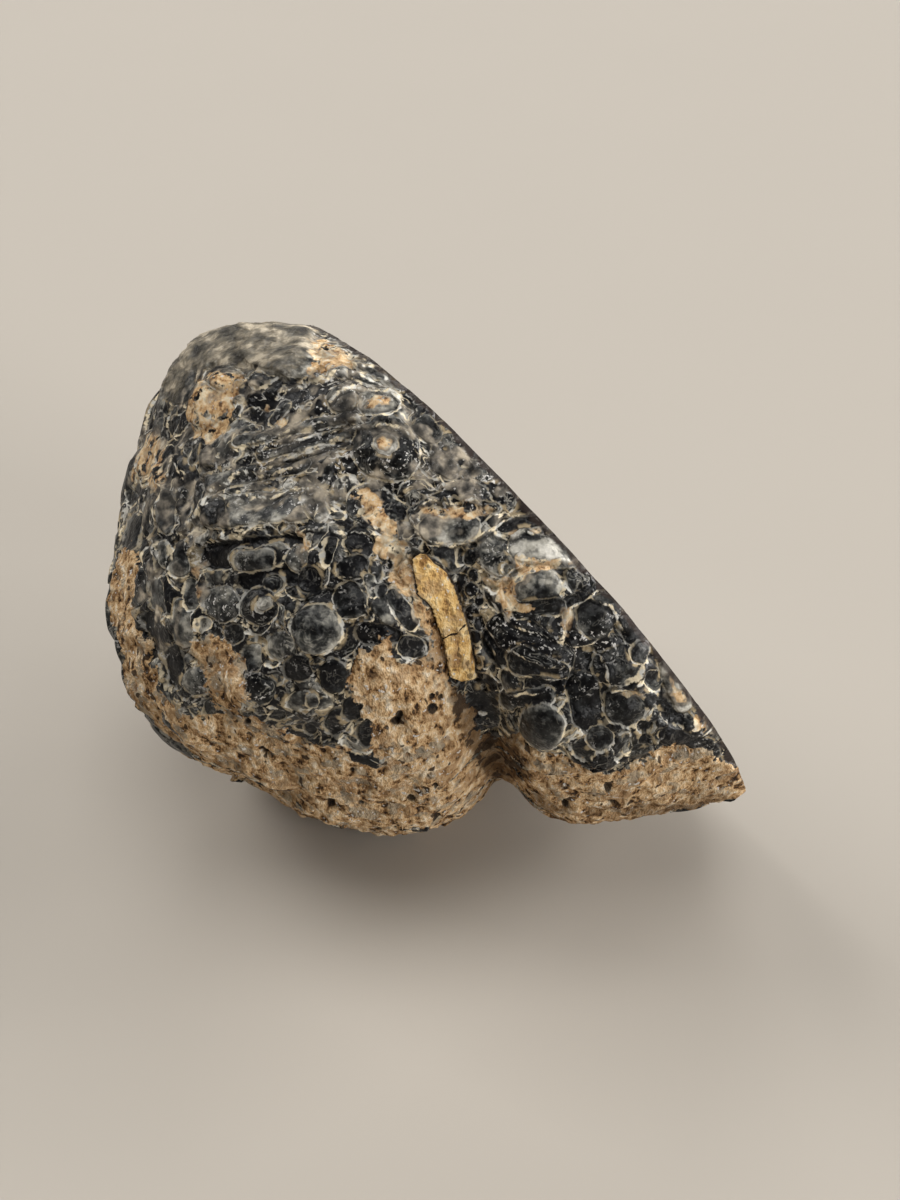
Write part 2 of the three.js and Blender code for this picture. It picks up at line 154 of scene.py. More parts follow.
# Growths that the picture shows, from the lowest to the topmost, as rounded bars: x, y of both ends in
# pixels, the radius at each end in mm, the rise in mm, the tone from 0 black to 1 pale, the strength of the
# cream outline and, where there are any, of the rings inside
GROWTHS = {
    "left strands": (
        (150, 500, 147, 532, 0.9, 0.8, 0.2, 0.2, 0.4), (164, 496, 164, 530, 0.9, 0.8, 0.3, 0.26, 0.5),
        (180, 494, 181, 528, 1.0, 0.8, 0.35, 0.22, 0.5), (133, 520, 128, 545, 0.9, 0.8, 0.2, 0.18, 0.4),
        (196, 486, 198, 520, 0.9, 0.9, 0.45, 0.16, 0.4),
    ),
    "left ovals": (
        (139, 578, 138, 600, 1.2, 1.2, 0.35, 0.14, 0.4), (156, 586, 158, 608, 1.0, 1.1, 0.3, 0.32, 0.5),
        (150, 618, 161, 642, 1.2, 1.2, 0.15, 0.08, 0.3),
    ),
    "tall ovals right of them": (
        (160, 545, 161, 563, 0.8, 0.8, 0.35, 0.24, 0.9), (180, 548, 182, 566, 1.3, 1.5, 0.6, 0.34, 0.9),
        (184, 608, 183, 638, 1.4, 1.4, 0.55, 0.36, 0.7), (193, 583, 193, 602, 0.7, 1.1, 0.4, 0.28, 0.9),
    ),
    "low on the left": (
        (172, 652, 176, 682, 1.0, 1.1, 0.1, 0.03, 0.5), (194, 680, 196, 684, 1.7, 1.7, 0.45, 0.34, 0.4),
        (208, 705, 209, 709, 0.8, 0.9, 0.2, 0.2, 0.5),
    ),
    "bean and the gaps by it": (
        (212, 556, 290, 545, 2.0, 1.7, -0.4, 0.0, 0.4), (246, 580, 300, 574, 1.6, 1.5, -0.3, 0.01, 0.2),
        (240, 559, 246, 559, 1.7, 1.6, 0.55, 0.34, 0.9), (262, 556, 274, 554, 1.6, 1.75, 0.55, 0.34, 0.9),
        (246, 561, 266, 558, 1.5, 1.55, 0.55, 0.34, 0.5),
    ),
    "right of the bean": (
        (297, 561, 297, 557, 1.6, 1.6, 0.25, 0.46, 0.7), (357, 542, 358, 545, 2.1, 2.0, 0.3, 0.02, 0.6),
        (349, 568, 356, 566, 1.7, 1.7, 0.4, 0.05, 0.4), (331, 542, 327, 561, 1.0, 0.8, 0.05, 0.01, 0.9),
        (309, 580, 310, 577, 1.7, 1.6, 0.45, 0.03, 0.2),
    ),
    "ringed and speckled discs": (
        (271, 585, 272, 584, 1.45, 1.4, 0.25, 0.14, 0.6, 0.7),
        (222, 603, 224, 606, 2.3, 2.2, 0.4, 0.28, 0.5, 0.2),
        (258, 606, 259, 606, 2.6, 2.6, 0.2, 0.1, 0.8, 1.0),
        (263, 605, 266, 603, 1.05, 1.0, 0.45, 0.5, 0.6, 0.3),
    ),
    "shoulder": (
        (328, 625, 328, 627, 4.7, 4.6, -0.15, 0.01, 0.6, 0.8),
        (350, 600, 351, 601, 2.5, 2.5, 0.35, 0.16, 0.8, 0.2),
        (317, 629, 319, 629, 3.3, 3.25, 0.9, 0.3, 1.0, 0.3),
        (281, 645, 282, 646, 2.0, 1.95, 0.4, 0.36, 0.6, 0.6),
        (251, 655, 252, 664, 1.4, 1.4, 0.3, 0.42, 0.4, 0.2),
        (233, 635, 234, 634, 1.4, 1.4, 0.2, 0.1, 0.3, 0.3),
        (366, 634, 392, 636, 1.8, 1.2, -0.35, 0.0, 0.2), (383, 606, 389, 616, 1.6, 1.3, 0.6, 0.36, 0.1),
        (369, 580, 374, 596, 0.8, 0.5, 0.4, 0.28, 0.9), (381, 590, 381, 592, 0.8, 0.8, 0.0, 0.01, 0.4),
    ),
    "low in the middle": (
        (394, 596, 411, 622, 1.2, 1.2, 0.55, 0.03, 1.0), (408, 646, 415, 647, 1.45, 1.45, 0.4, 0.04, 0.9),
        (297, 669, 298, 669, 1.8, 1.8, 0.3, 0.02, 0.3), (333, 679, 334, 675, 2.1, 2.1, 0.5, 0.05, 0.7),
        (257, 688, 260, 689, 2.25, 2.2, 0.3, 0.12, 0.6, 1.0),
        (295, 702, 304, 700, 1.2, 1.2, 0.3, 0.32, 0.9), (312, 702, 312, 700, 0.8, 0.9, 0.4, 0.28, 0.7),
        (277, 715, 279, 715, 0.9, 0.9, 0.2, 0.02, 0.5), (309, 730, 310, 730, 0.8, 0.8, 0.1, 0.01, 0.4),
        (336, 724, 338, 720, 1.5, 1.6, 0.4, 0.07, 0.5, 0.3),
        (352, 707, 352, 710, 1.4, 1.4, 0.3, 0.02, 0.3), (367, 732, 370, 737, 1.4, 1.4, 0.35, 0.04, 0.2),
    ),
    "plate": (
        (216, 512, 318, 505, 2.2, 2.0, 0.9, 0.46, 0.9), (213, 514, 219, 511, 1.7, 1.6, 0.95, 0.14, 0.2),
        (316, 500, 320, 512, 1.7, 1.4, 1.0, 0.44, 0.8), (232, 487, 238, 486, 1.05, 1.05, 0.8, 0.3, 0.9),
    ),
    "flows over the plate": (
        (212, 484, 300, 462, 1.2, 1.3, 0.7, 0.34, 0.5), (203, 470, 215, 466, 0.5, 0.5, -0.4, 0.0, 0.5),
        (262, 463, 350, 438, 0.9, 0.8, 0.2, 0.0, 0.2), (262, 456, 352, 430, 0.9, 0.9, 1.0, 0.3, 0.9),
        (250, 449, 345, 424, 0.6, 0.5, 0.4, 0.0, 0.2), (240, 441, 352, 415, 1.0, 0.8, 1.2, 0.32, 0.8),
    ),
    "ring": (
        (384, 448, 392, 452, 4.3, 3.9, 0.6, 0.2, 0.8, 0.9), (383, 443, 388, 444, 1.4, 1.3, 0.9, 0.58, 0.6),
    ),
    "ovals at the top": (
        (337, 399, 341, 397, 1.8, 1.7, 0.8, 0.42, 0.7, 0.2),
        (370, 402, 388, 399, 1.8, 1.7, 1.0, 0.6, 0.8, 0.3),
    ),
    "rim": (
        (350, 372, 384, 388, 0.5, 0.5, 0.7, 0.36, 0.7), (356, 364, 396, 386, 0.5, 0.5, 0.6, 0.3, 0.6),
        (424, 426, 432, 434, 1.6, 1.4, 0.5, 0.24, 0.4, 0.4),
        (440, 462, 450, 470, 1.6, 1.3, 0.5, 0.2, 0.4, 0.2),
    ),
    "crust": (
        (196, 356, 240, 340, 2.3, 2.2, 0.7, 0.5, 0.1), (262, 350, 300, 362, 2.5, 2.2, 0.9, 0.54, 0.1),
        (178, 392, 186, 376, 1.6, 1.6, 0.4, 0.36, 0.1), (286, 330, 304, 336, 1.4, 1.6, 1.3, 0.56, 0.2),
        (330, 362, 340, 368, 1.3, 1.2, 0.7, 0.5, 0.4),
    ),
    "plate by the groove and beads by the flake": (
        (434, 530, 464, 526, 2.0, 2.1, 0.6, 0.46, 0.9), (470, 558, 470, 560, 0.95, 0.95, 0.2, 0.03, 0.5),
        (473, 574, 473, 576, 0.9, 0.9, 0.15, 0.04, 0.5), (470, 589, 470, 591, 0.9, 0.9, 0.25, 0.03, 0.5),
        (479, 601, 479, 602, 0.75, 0.75, 0.1, 0.06, 0.5), (470, 612, 471, 614, 0.95, 0.95, 0.2, 0.03, 0.5),
        (480, 624, 480, 626, 0.85, 0.85, 0.15, 0.04, 0.5), (475, 637, 475, 639, 0.8, 0.8, 0.1, 0.03, 0.5),
        (490, 641, 490, 643, 0.8, 0.8, 0.2, 0.05, 0.5),
    ),
    "wing, top": (
        (505, 526, 540, 520, 1.05, 1.05, 0.35, 0.03, 0.4),
        (512, 640, 556, 660, 3.9, 2.6, 0.1, 0.05, 0.15, 1.0),
        (524, 662, 558, 674, 2.2, 1.6, 0.3, 0.08, 0.7, 1.0),
        (534, 684, 566, 690, 1.3, 1.1, 0.2, 0.04, 0.5, 1.0),
        (526, 545, 566, 556, 2.3, 1.7, 0.6, 0.72, 0.2),
        (529, 585, 546, 586, 2.45, 2.3, 0.65, 0.44, 0.9, 0.1),
        (520, 612, 556, 606, 1.2, 1.2, 0.1, 0.1, 0.5, 0.5),
    ),
    "wing, right": (
        (597, 618, 603, 612, 2.85, 2.6, 0.45, 0.2, 0.5, 0.1),
        (628, 624, 636, 634, 1.6, 1.6, 0.3, 0.08, 0.4),
        (612, 668, 624, 662, 2.5, 2.3, 0.45, 0.17, 0.8, 0.1),
        (640, 653, 642, 650, 1.4, 1.3, 0.5, 0.2, 0.7), (652, 678, 653, 681, 1.3, 1.3, 0.4, 0.26, 1.0, 0.7),
        (668, 668, 684, 704, 1.2, 1.3, 0.3, 0.6, 0.2),
    ),
    "wing, middle and foot": (
        (584, 690, 590, 716, 2.2, 2.2, 0.1, 0.04, 0.3, 0.2),
        (622, 706, 627, 709, 2.5, 2.3, 0.4, 0.16, 0.8, 0.1),
        (508, 702, 546, 696, 1.2, 1.2, 0.35, 0.2, 0.8),
        (541, 725, 543, 726, 2.85, 2.85, 0.9, 0.26, 1.0, 0.1),
        (583, 747, 585, 745, 1.45, 1.45, 0.3, 0.12, 0.9),
        (598, 737, 601, 736, 1.6, 1.6, 0.55, 0.17, 1.0, 0.2),
        (644, 738, 645, 738, 0.8, 0.8, 0.5, 0.01, 0.3), (659, 733, 661, 733, 1.05, 1.05, 0.6, 0.01, 0.4),
        (668, 735, 712, 752, 1.4, 1.3, 0.3, 0.02, 0.2),
    ),
}

# Sandy matrix, as closed outlines in pixels, x and y in turn
MATRIX_PATCHES = {
    "lower band": (
        90, 640, 128, 650, 140, 662, 158, 672, 166, 694, 180, 712, 205, 720, 232, 708, 258, 716, 282, 734,
        310, 742, 340, 748, 372, 764, 400, 758, 440, 742, 470, 730, 500, 740, 520, 800, 460, 900, 330, 920,
        220, 880, 120, 800, 60, 720,
    ),
    "left strip": (
        90, 540, 128, 546, 133, 570, 130, 600, 140, 630, 150, 650, 140, 668, 90, 660,
    ),
    "middle tongue": (
        193, 640, 205, 634, 218, 636, 226, 646, 240, 655, 246, 672, 243, 692, 250, 712, 232, 716, 215, 712,
        206, 692, 196, 668, 190, 652,
    ),
    "right patch": (
        352, 664, 364, 650, 384, 643, 398, 656, 412, 663, 428, 657, 434, 640, 428, 612, 436, 612, 446, 640,
        452, 685, 474, 705, 480, 745, 440, 770, 390, 770, 372, 752, 370, 728, 356, 704, 350, 684,
    ),
    "wing foot": (
        495, 740, 520, 735, 530, 747, 560, 756, 598, 768, 625, 770, 648, 764, 655, 744, 676, 744, 700, 750,
        722, 760, 750, 770, 780, 830, 650, 870, 600, 880, 535, 860, 490, 800,
    ),
}

# Thin orange and tan films over the growths: strength from 0 to 1, and a closed outline
FILM_PATCHES = {
    "streak": (1.0, (
        354, 494, 366, 488, 378, 494, 388, 508, 400, 524, 408, 545, 416, 560, 420, 592, 434, 612, 430, 640,
        420, 624, 412, 600, 396, 584, 390, 562, 374, 548, 378, 530, 364, 516,
    )),
    "jagged": (1.0, (
        484, 580, 496, 582, 502, 572, 514, 572, 516, 556, 545, 558, 578, 560, 580, 568, 550, 571, 530, 574,
        517, 586, 520, 602, 538, 609, 530, 616, 514, 612, 506, 618, 500, 604, 492, 602, 496, 592,
    )),
    "wing crest": (0.55, (560, 612, 566, 604, 576, 608, 574, 628, 568, 640, 560, 632)),
    "below the right ring": (0.8, (664, 676, 672, 672, 682, 690, 694, 706, 684, 706, 670, 694)),
    "right of the plate": (0.7, (616, 690, 640, 684, 652, 676, 648, 690, 630, 698, 618, 698)),
    "top left": (0.72, (
        184, 440, 188, 400, 200, 382, 222, 368, 244, 376, 238, 398, 230, 410, 226, 432, 212, 446, 196, 444,
    )),
    "left edge": (0.62, (
        130, 480, 135, 440, 145, 405, 165, 400, 158, 430, 168, 455, 164, 485, 150, 492,
    )),
    "rim": (0.8, (
        312, 345, 322, 335, 350, 352, 356, 366, 340, 372, 322, 378, 310, 380, 300, 372, 308, 360,
    )),
    "star": (0.75, (690, 716, 697, 710, 704, 718, 710, 730, 700, 736, 688, 728)),
    "spot a": (0.75, (272, 418, 284, 413, 290, 420, 282, 427, 273, 425)),
    "spot b": (0.7, (258, 404, 266, 402, 270, 408, 262, 411)),
    "tan oval": (0.7, (362, 398, 376, 390, 394, 396, 392, 408, 376, 412, 364, 408)),
    "ring heart": (0.65, (372, 440, 382, 434, 394, 438, 393, 448, 384, 453, 374, 449)),
    "by the bean": (0.7, (296, 534, 306, 532, 316, 540, 314, 560, 306, 566, 300, 552)),
    "left of the bean": (0.6, (194, 556, 203, 548, 210, 552, 208, 580, 200, 600, 194, 584)),
    "above the dome": (0.8, (392, 556, 410, 562, 414, 584, 400, 592, 388, 580)),
    "groove rim": (0.7, (410, 500, 440, 506, 470, 500, 500, 508, 480, 520, 440, 518, 416, 514)),
    "rim patch": (0.6, (498, 528, 512, 524, 536, 527, 544, 532, 520, 534, 512, 546, 502, 542)),
    "upper half": (0.29, (
        140, 520, 146, 420, 200, 372, 300, 372, 350, 352, 440, 424, 545, 530, 480, 548, 430, 540, 330, 528,
        250, 522, 196, 548,
    )),
    "shoulder": (0.18, (120, 540, 150, 500, 200, 540, 196, 640, 180, 660, 140, 640)),
}

# Thin cream seams where growths end, as open lines from left to right, with a groove below each that is
# painted dark as its shadow
SEAMS = {
    "above the bean": (
        187, 548, 193, 553, 203, 541, 214, 539, 235, 538, 246, 536, 254, 528, 263, 523, 272, 524, 280, 529,
        290, 535, 298, 537, 308, 531, 328, 527, 345, 532, 362, 534, 377, 541,
    ),
    "over the ring": (
        246, 477, 270, 467, 290, 458, 311, 450, 331, 441, 352, 433, 365, 426, 382, 423, 399, 428, 411, 440,
        420, 456,
    ),
    "upper ledge": (233, 450, 253, 443, 277, 434, 304, 429, 324, 424, 345, 419, 362, 421),
    "middle ledge": (240, 462, 263, 450, 284, 442, 304, 438, 321, 434, 338, 430),
    "top ledge": (
        252, 396, 290, 385, 311, 380, 338, 373, 358, 375, 372, 380, 389, 383, 399, 390,
    ),
    "rim strand": (318, 352, 338, 358, 358, 363, 379, 373, 392, 382),
    "second rim strand": (330, 348, 352, 356, 372, 366, 388, 376),
    "oval's edge": (
        330, 398, 344, 386, 366, 388, 390, 390, 402, 400, 398, 412, 372, 416, 352, 412,
    ),
    "plate's left end": (178, 535, 192, 521, 202, 507, 219, 500, 236, 495),
    "plate's top": (
        236, 491, 256, 500, 277, 500, 290, 490, 304, 489, 318, 494, 323, 507, 318, 521,
    ),
    "left loop": (148, 535, 154, 555, 161, 569, 168, 558, 166, 538, 173, 534),
    "left edge a": (136, 500, 142, 520, 138, 548, 144, 566),
    "left edge b": (152, 470, 158, 492, 154, 516, 158, 532),
    "left edge c": (172, 462, 180, 482, 174, 506, 180, 526),
    "lower flow": (206, 502, 216, 488, 232, 478, 250, 474, 268, 476, 292, 470),
    "groove plate": (
        409, 514, 418, 534, 438, 546, 457, 548, 476, 541, 495, 529, 512, 518, 524, 514, 543, 519,
    ),
    "groove plate's top": (414, 510, 430, 500, 452, 504, 474, 500, 492, 508),
    "rim patch": (495, 534, 512, 538, 524, 531, 548, 530, 572, 558),
    "wing line": (483, 582, 495, 586, 514, 570, 538, 560, 572, 562, 591, 566),
    "wing crest": (562, 649, 565, 630, 572, 610, 591, 596, 610, 606, 625, 630),
    "growth line": (483, 620, 495, 644, 519, 658, 548, 668, 562, 668),
    "second growth line": (484, 640, 498, 664, 520, 676, 548, 682, 566, 680),
    "third growth line": (492, 600, 500, 612, 512, 622, 530, 632, 556, 638, 572, 650),
    "wing ledge": (498, 692, 519, 697, 538, 694),
    "orange seam": (601, 657, 606, 678, 613, 692, 630, 687, 642, 678),
    "shoulder line": (340, 578, 352, 578, 366, 590, 368, 610),
    "below the beans": (404, 560, 398, 574, 412, 586, 420, 604),
}

# Grey crust at the top, as a closed outline
CRUST = (
    160, 390, 168, 345, 200, 325, 240, 310, 285, 308, 320, 326, 322, 350, 304, 374, 280, 382, 250, 372,
    220, 370, 196, 378, 182, 400, 168, 410,
)

# Valley in the groove, as a closed outline: painted darker brown, partly its own brown and partly painted
# shade
VALLEY = (446, 678, 478, 676, 500, 700, 522, 742, 530, 775, 500, 790, 478, 770, 456, 730)

# Parts where the rind flows in parallel ledges instead of round growths, as closed outlines
FLOW_PATCHES = {
    "upper": (
        205, 506, 214, 440, 258, 388, 330, 372, 400, 384, 440, 430, 470, 482, 430, 500, 392, 486, 360, 498,
        322, 484, 250, 500,
    ),
    "left": (126, 548, 134, 450, 168, 430, 204, 462, 198, 545, 160, 530),
}

# Smooth part of the wing with few growths but those listed, as a closed outline
CALM = (
    566, 700, 556, 660, 566, 610, 590, 590, 630, 620, 668, 670, 700, 716, 690, 740, 668, 740, 650, 752,
    610, 752, 572, 742, 560, 720,
)

# Flake of matrix in the groove, as a closed outline, and the crack that runs across it
FLAKE = (
    411, 558, 418, 553, 426, 555, 445, 573, 455, 592, 465, 621, 470, 645, 477, 677, 462, 680, 450, 677,
    443, 641, 432, 606, 419, 594, 414, 574,
)
FLAKE_CRACK = (430, 640, 441, 639, 450, 634, 458, 632, 464, 625, 480, 622)

# Pits in the matrix: x, y in pixels and radius in mm
PITS = (
    (262, 751, 0.6), (330, 803, 0.8), (360, 804, 0.5), (410, 801, 0.6),
    (432, 709, 0.7), (431, 697, 0.4), (439, 699, 0.35), (437, 787, 0.6),
    (436, 821, 0.6), (394, 723, 0.7), (398, 716, 0.5), (608, 786, 0.6),
    (613, 803, 0.5), (721, 781, 0.5), (300, 786, 0.4), (246, 722, 0.45),
    (352, 770, 0.35), (566, 806, 0.5), (640, 790, 0.4), (205, 690, 0.3),
)

# Places dusted with white specks: x, y in pixels, radius in mm and strength
DUST_SPOTS = {
    "below the ring": (350, 472, 4.6, 1.0),
    "over the plate": (300, 500, 3.6, 0.5),
    "below the flows": (280, 470, 5.0, 0.6),
    "towards the rim": (460, 478, 5.5, 0.8),
    "above the flake": (400, 470, 4.0, 0.8),
    "lavender disc": (298, 552, 1.8, 1.0),
    "wing": (515, 632, 3.0, 0.6),
    "wing, below": (560, 650, 4.0, 0.2),
    "speckled disc": (222, 602, 2.2, 0.8),
    "ringed disc": (256, 690, 2.6, 0.5),
    "top": (330, 402, 5.0, 0.5),
    "wing disc": (600, 640, 3.0, 0.4),
}


# Shape of the stone

def stone_axes():
    """Along the face, into the stone and across the face, in the frame."""
    out = np.array([
        math.cos(FACE_AZIMUTH) * math.cos(FACE_LIFT),
        math.sin(FACE_AZIMUTH) * math.cos(FACE_LIFT),
        math.sin(FACE_LIFT),
    ])
    level = np.array([math.sin(FACE_AZIMUTH), -math.cos(FACE_AZIMUTH), 0.0])
    up = np.cross(level, out)
    along = level * math.cos(FACE_ROLL) - up * math.sin(FACE_ROLL)
    return np.array([along, -out, np.cross(along, -out)])


AXES = stone_axes()


def to_rest(points):
    return FACE_CENTRE + points @ AXES


def smooth(values, low, high):
    part = np.clip((values - low) / (high - low), 0.0, 1.0)
    return part * part * (3.0 - 2.0 * part)


def noise(points, size):
    """Smooth noise from -1 to 1 that varies over a distance of size."""
    place = points / size
    cell = np.floor(place)
    ease = smooth(place - cell, 0.0, 1.0)
    total = np.zeros(points.shape[:-1])
    for corner in range(8):
        step = np.array([corner & 1, (corner >> 1) & 1, (corner >> 2) & 1])
        weight = np.where(step == 1, ease, 1.0 - ease).prod(-1)
        wave = np.sin((cell + step) @ HASH_WAVES) * HASH_SPREAD
        total += weight * (wave - np.floor(wave))
    return 2.0 * total - 1.0


def layers(points, table):
    """Sum of noises, each with its size and height."""
    return sum(height * noise(points, size) for size, height in table)


def grid_directions():
    """Directions over the half sphere, from a square whose edge goes to the edge of the sawn face."""
    line = np.linspace(-1.0, 1.0, GRID + 1)
    u, v = np.meshgrid(line, line - CROWDING * (1.0 - line * line), indexing="ij")
    safe_u, safe_v = (np.where(np.abs(side) < TINY, TINY, side) for side in (u, v))
    turn_wide = EIGHTH_TURN * v / safe_u + np.where(u < 0, math.pi, 0.0)
    turn_tall = math.pi / 2 - EIGHTH_TURN * u / safe_v + np.where(v < 0, math.pi, 0.0)
    turn = np.where(np.abs(u) >= np.abs(v), turn_wide, turn_tall)
    inward = 1.0 - np.maximum(np.abs(u), np.abs(v)) ** 2
    flat = np.sqrt(1.0 - inward * inward)
    return np.stack([flat * np.cos(turn), inward, flat * np.sin(turn)], -1)


def grid_place(direction):
    """Row and column of the grid for a direction, the other way round."""
    ring = math.sqrt(max(1.0 - direction[1], 0.0))
    turn = math.atan2(direction[2], direction[0])
    if abs(turn) <= EIGHTH_TURN:
        u, v = ring, ring * turn / EIGHTH_TURN
    elif abs(turn) >= 3 * EIGHTH_TURN:
        u, v = -ring, -ring * (turn - math.copysign(math.pi, turn)) / EIGHTH_TURN
    elif turn > 0:
        u, v = ring * (math.pi / 2 - turn) / EIGHTH_TURN, ring
    else:
        u, v = ring * (turn + math.pi / 2) / EIGHTH_TURN, -ring
    line = (math.sqrt(1.0 + 4.0 * CROWDING * (CROWDING + v)) - 1.0) / (2.0 * CROWDING)
    return int((u + 1.0) / 2.0 * GRID), int((line + 1.0) / 2.0 * GRID)


def blurred(row):
    reach = int(3 * FACET_BLUR)
    kernel = np.exp(-0.5 * (np.arange(-reach, reach + 1) / FACET_BLUR) ** 2)
    return np.convolve(np.pad(row, reach, "edge"), kernel / kernel.sum(), "valid")


def solid_radii(directions):
    """Distance from the face's centre to the solid's rind, with its facets rounded off."""
    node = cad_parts["geode"]
    corners = [node.matrix_world @ vertex.co for vertex in node.data.vertices]
    tree = BVHTree.FromPolygons(corners, [tuple(polygon.vertices) for polygon in node.data.polygons])
    lifted = directions.copy()
    lifted[..., 1] = np.maximum(lifted[..., 1], 0.01)
    centre = Vector(FACE_CENTRE * MM)
    radii = []
    for ray in lifted.reshape(-1, 3) @ AXES:
        ray = Vector(ray).normalized()
        hit = tree.ray_cast(centre + ray * MM, ray)[0]
        radii.append((hit - centre).length / MM)
    radii = np.array(radii).reshape(directions.shape[:2])
    return np.apply_along_axis(blurred, 1, np.apply_along_axis(blurred, 0, radii))


def normals_of(points):
    """Outward normals of a grid of points."""
    normals = np.cross(np.gradient(points, axis=1), np.gradient(points, axis=0))
    return normals / np.linalg.norm(normals, axis=-1, keepdims=True)


# Camera

CAMERA_BACK = np.array([0.0, -math.cos(CAMERA_ELEVATION), math.sin(CAMERA_ELEVATION)])
CAMERA_UP = np.array([0.0, math.sin(CAMERA_ELEVATION), math.cos(CAMERA_ELEVATION)])
CAMERA_RIGHT = np.array([1.0, 0.0, 0.0])
FOCAL_PIXELS = PICTURE_SIZE[1] * LENS / SENSOR
FACE_OFFSET = (FACE_CENTRE_PIXEL - PICTURE_SIZE / 2) * PIXEL
AIM = FACE_CENTRE - FACE_OFFSET[0] * CAMERA_RIGHT + FACE_OFFSET[1] * CAMERA_UP
CAMERA_PLACE = AIM + FOCAL_PIXELS * PIXEL * CAMERA_BACK


def picture_place(points):
    """Pixels of points given in the frame in mm."""
    away = points - CAMERA_PLACE
    scale = FOCAL_PIXELS / -(away @ CAMERA_BACK)
    return PICTURE_SIZE / 2 + np.stack([away @ CAMERA_RIGHT, -(away @ CAMERA_UP)], -1) * scale[..., None]


def add_object(name, data):
    made = bpy.data.objects.new(name, data)
    bpy.context.scene.collection.objects.link(made)
    return made


def make_camera():
    data = bpy.data.cameras.new("camera")
    data.lens = LENS
    data.sensor_width = SENSOR
    data.clip_start = 0.01
    data.clip_end = 20.0
    camera = add_object("camera", data)
    camera.location = Vector(CAMERA_PLACE * MM)
    camera.rotation_euler = Vector(-CAMERA_BACK).to_track_quat("-Z", "Y").to_euler()
    bpy.context.scene.camera = camera


# The solid's rind: its points in the stone's own axes, in the frame and in the picture

directions = grid_directions()
base_radii = solid_radii(directions)
base_stone = directions * base_radii[..., None]
base_rest = to_rest(base_stone)
to_camera = CAMERA_PLACE - base_rest
facing = (normals_of(base_rest) * to_camera).sum(-1) / np.linalg.norm(to_camera, axis=-1)
picture = picture_place(base_rest)
flat_picture = np.concatenate([picture * PIXEL, np.zeros((*facing.shape, 1))], -1)
seen = smooth(facing, 0.02, 0.2)
wobble = layers(base_stone, WOBBLE)
rough = layers(base_stone, ROUGH_EDGES)


def from_segment(start, end):
    """How far each place is from the line between two pixels, in mm, and its side, positive below."""
    run = np.subtract(end, start)
    away = picture - start
    rest = away - np.clip(away @ run / (run @ run), 0.0, 1.0)[..., None] * run
    return np.hypot(rest[..., 0], rest[..., 1]) * PIXEL, run[0] * away[..., 1] - run[1] * away[..., 0]


def from_pixel(x, y):
    return np.hypot(picture[..., 0] - x, picture[..., 1] - y) * PIXEL


def outline_depth(outline):
    """How far inside a closed outline each place is, in mm, and negative outside."""
    nearest = np.full(facing.shape, np.inf)
    inside = np.zeros(facing.shape, bool)
    points = np.reshape(outline, (-1, 2))
    for start, end in zip(points, np.roll(points, -1, axis=0)):
        distance, side = from_segment(start, end)
        nearest = np.minimum(nearest, distance)
        level = (start[1] > picture[..., 1]) != (end[1] > picture[..., 1])
        inside ^= level & ((side > 0) == (end[1] > start[1]))
    return np.where(inside, nearest, -nearest)


def patches_depth(patches):
    return np.max([outline_depth(outline) for outline in patches.values()], axis=0)


def seam_distance():
    """Distance to the nearest seam in mm, positive below it."""
    nearest = np.full(facing.shape, FAR)
    for line in SEAMS.values():
        points = np.reshape(line, (-1, 2))
        for start, end in zip(points, points[1:]):
            distance, side = from_segment(start, end)
            signed = np.where(side >= 0, distance, -distance)
            nearest = np.where(distance < np.abs(nearest), signed, nearest)
    return nearest


def where_faced(limit, values, elsewhere=-FAR):
    return np.where(facing > limit, values, elsewhere)


flow = smooth(patches_depth(FLOW_PATCHES) + rough, -0.8, 1.0) * seen
calm = np.maximum(0.7 * flow, 0.8 * smooth(outline_depth(CALM), -0.2, 0.4) * seen)


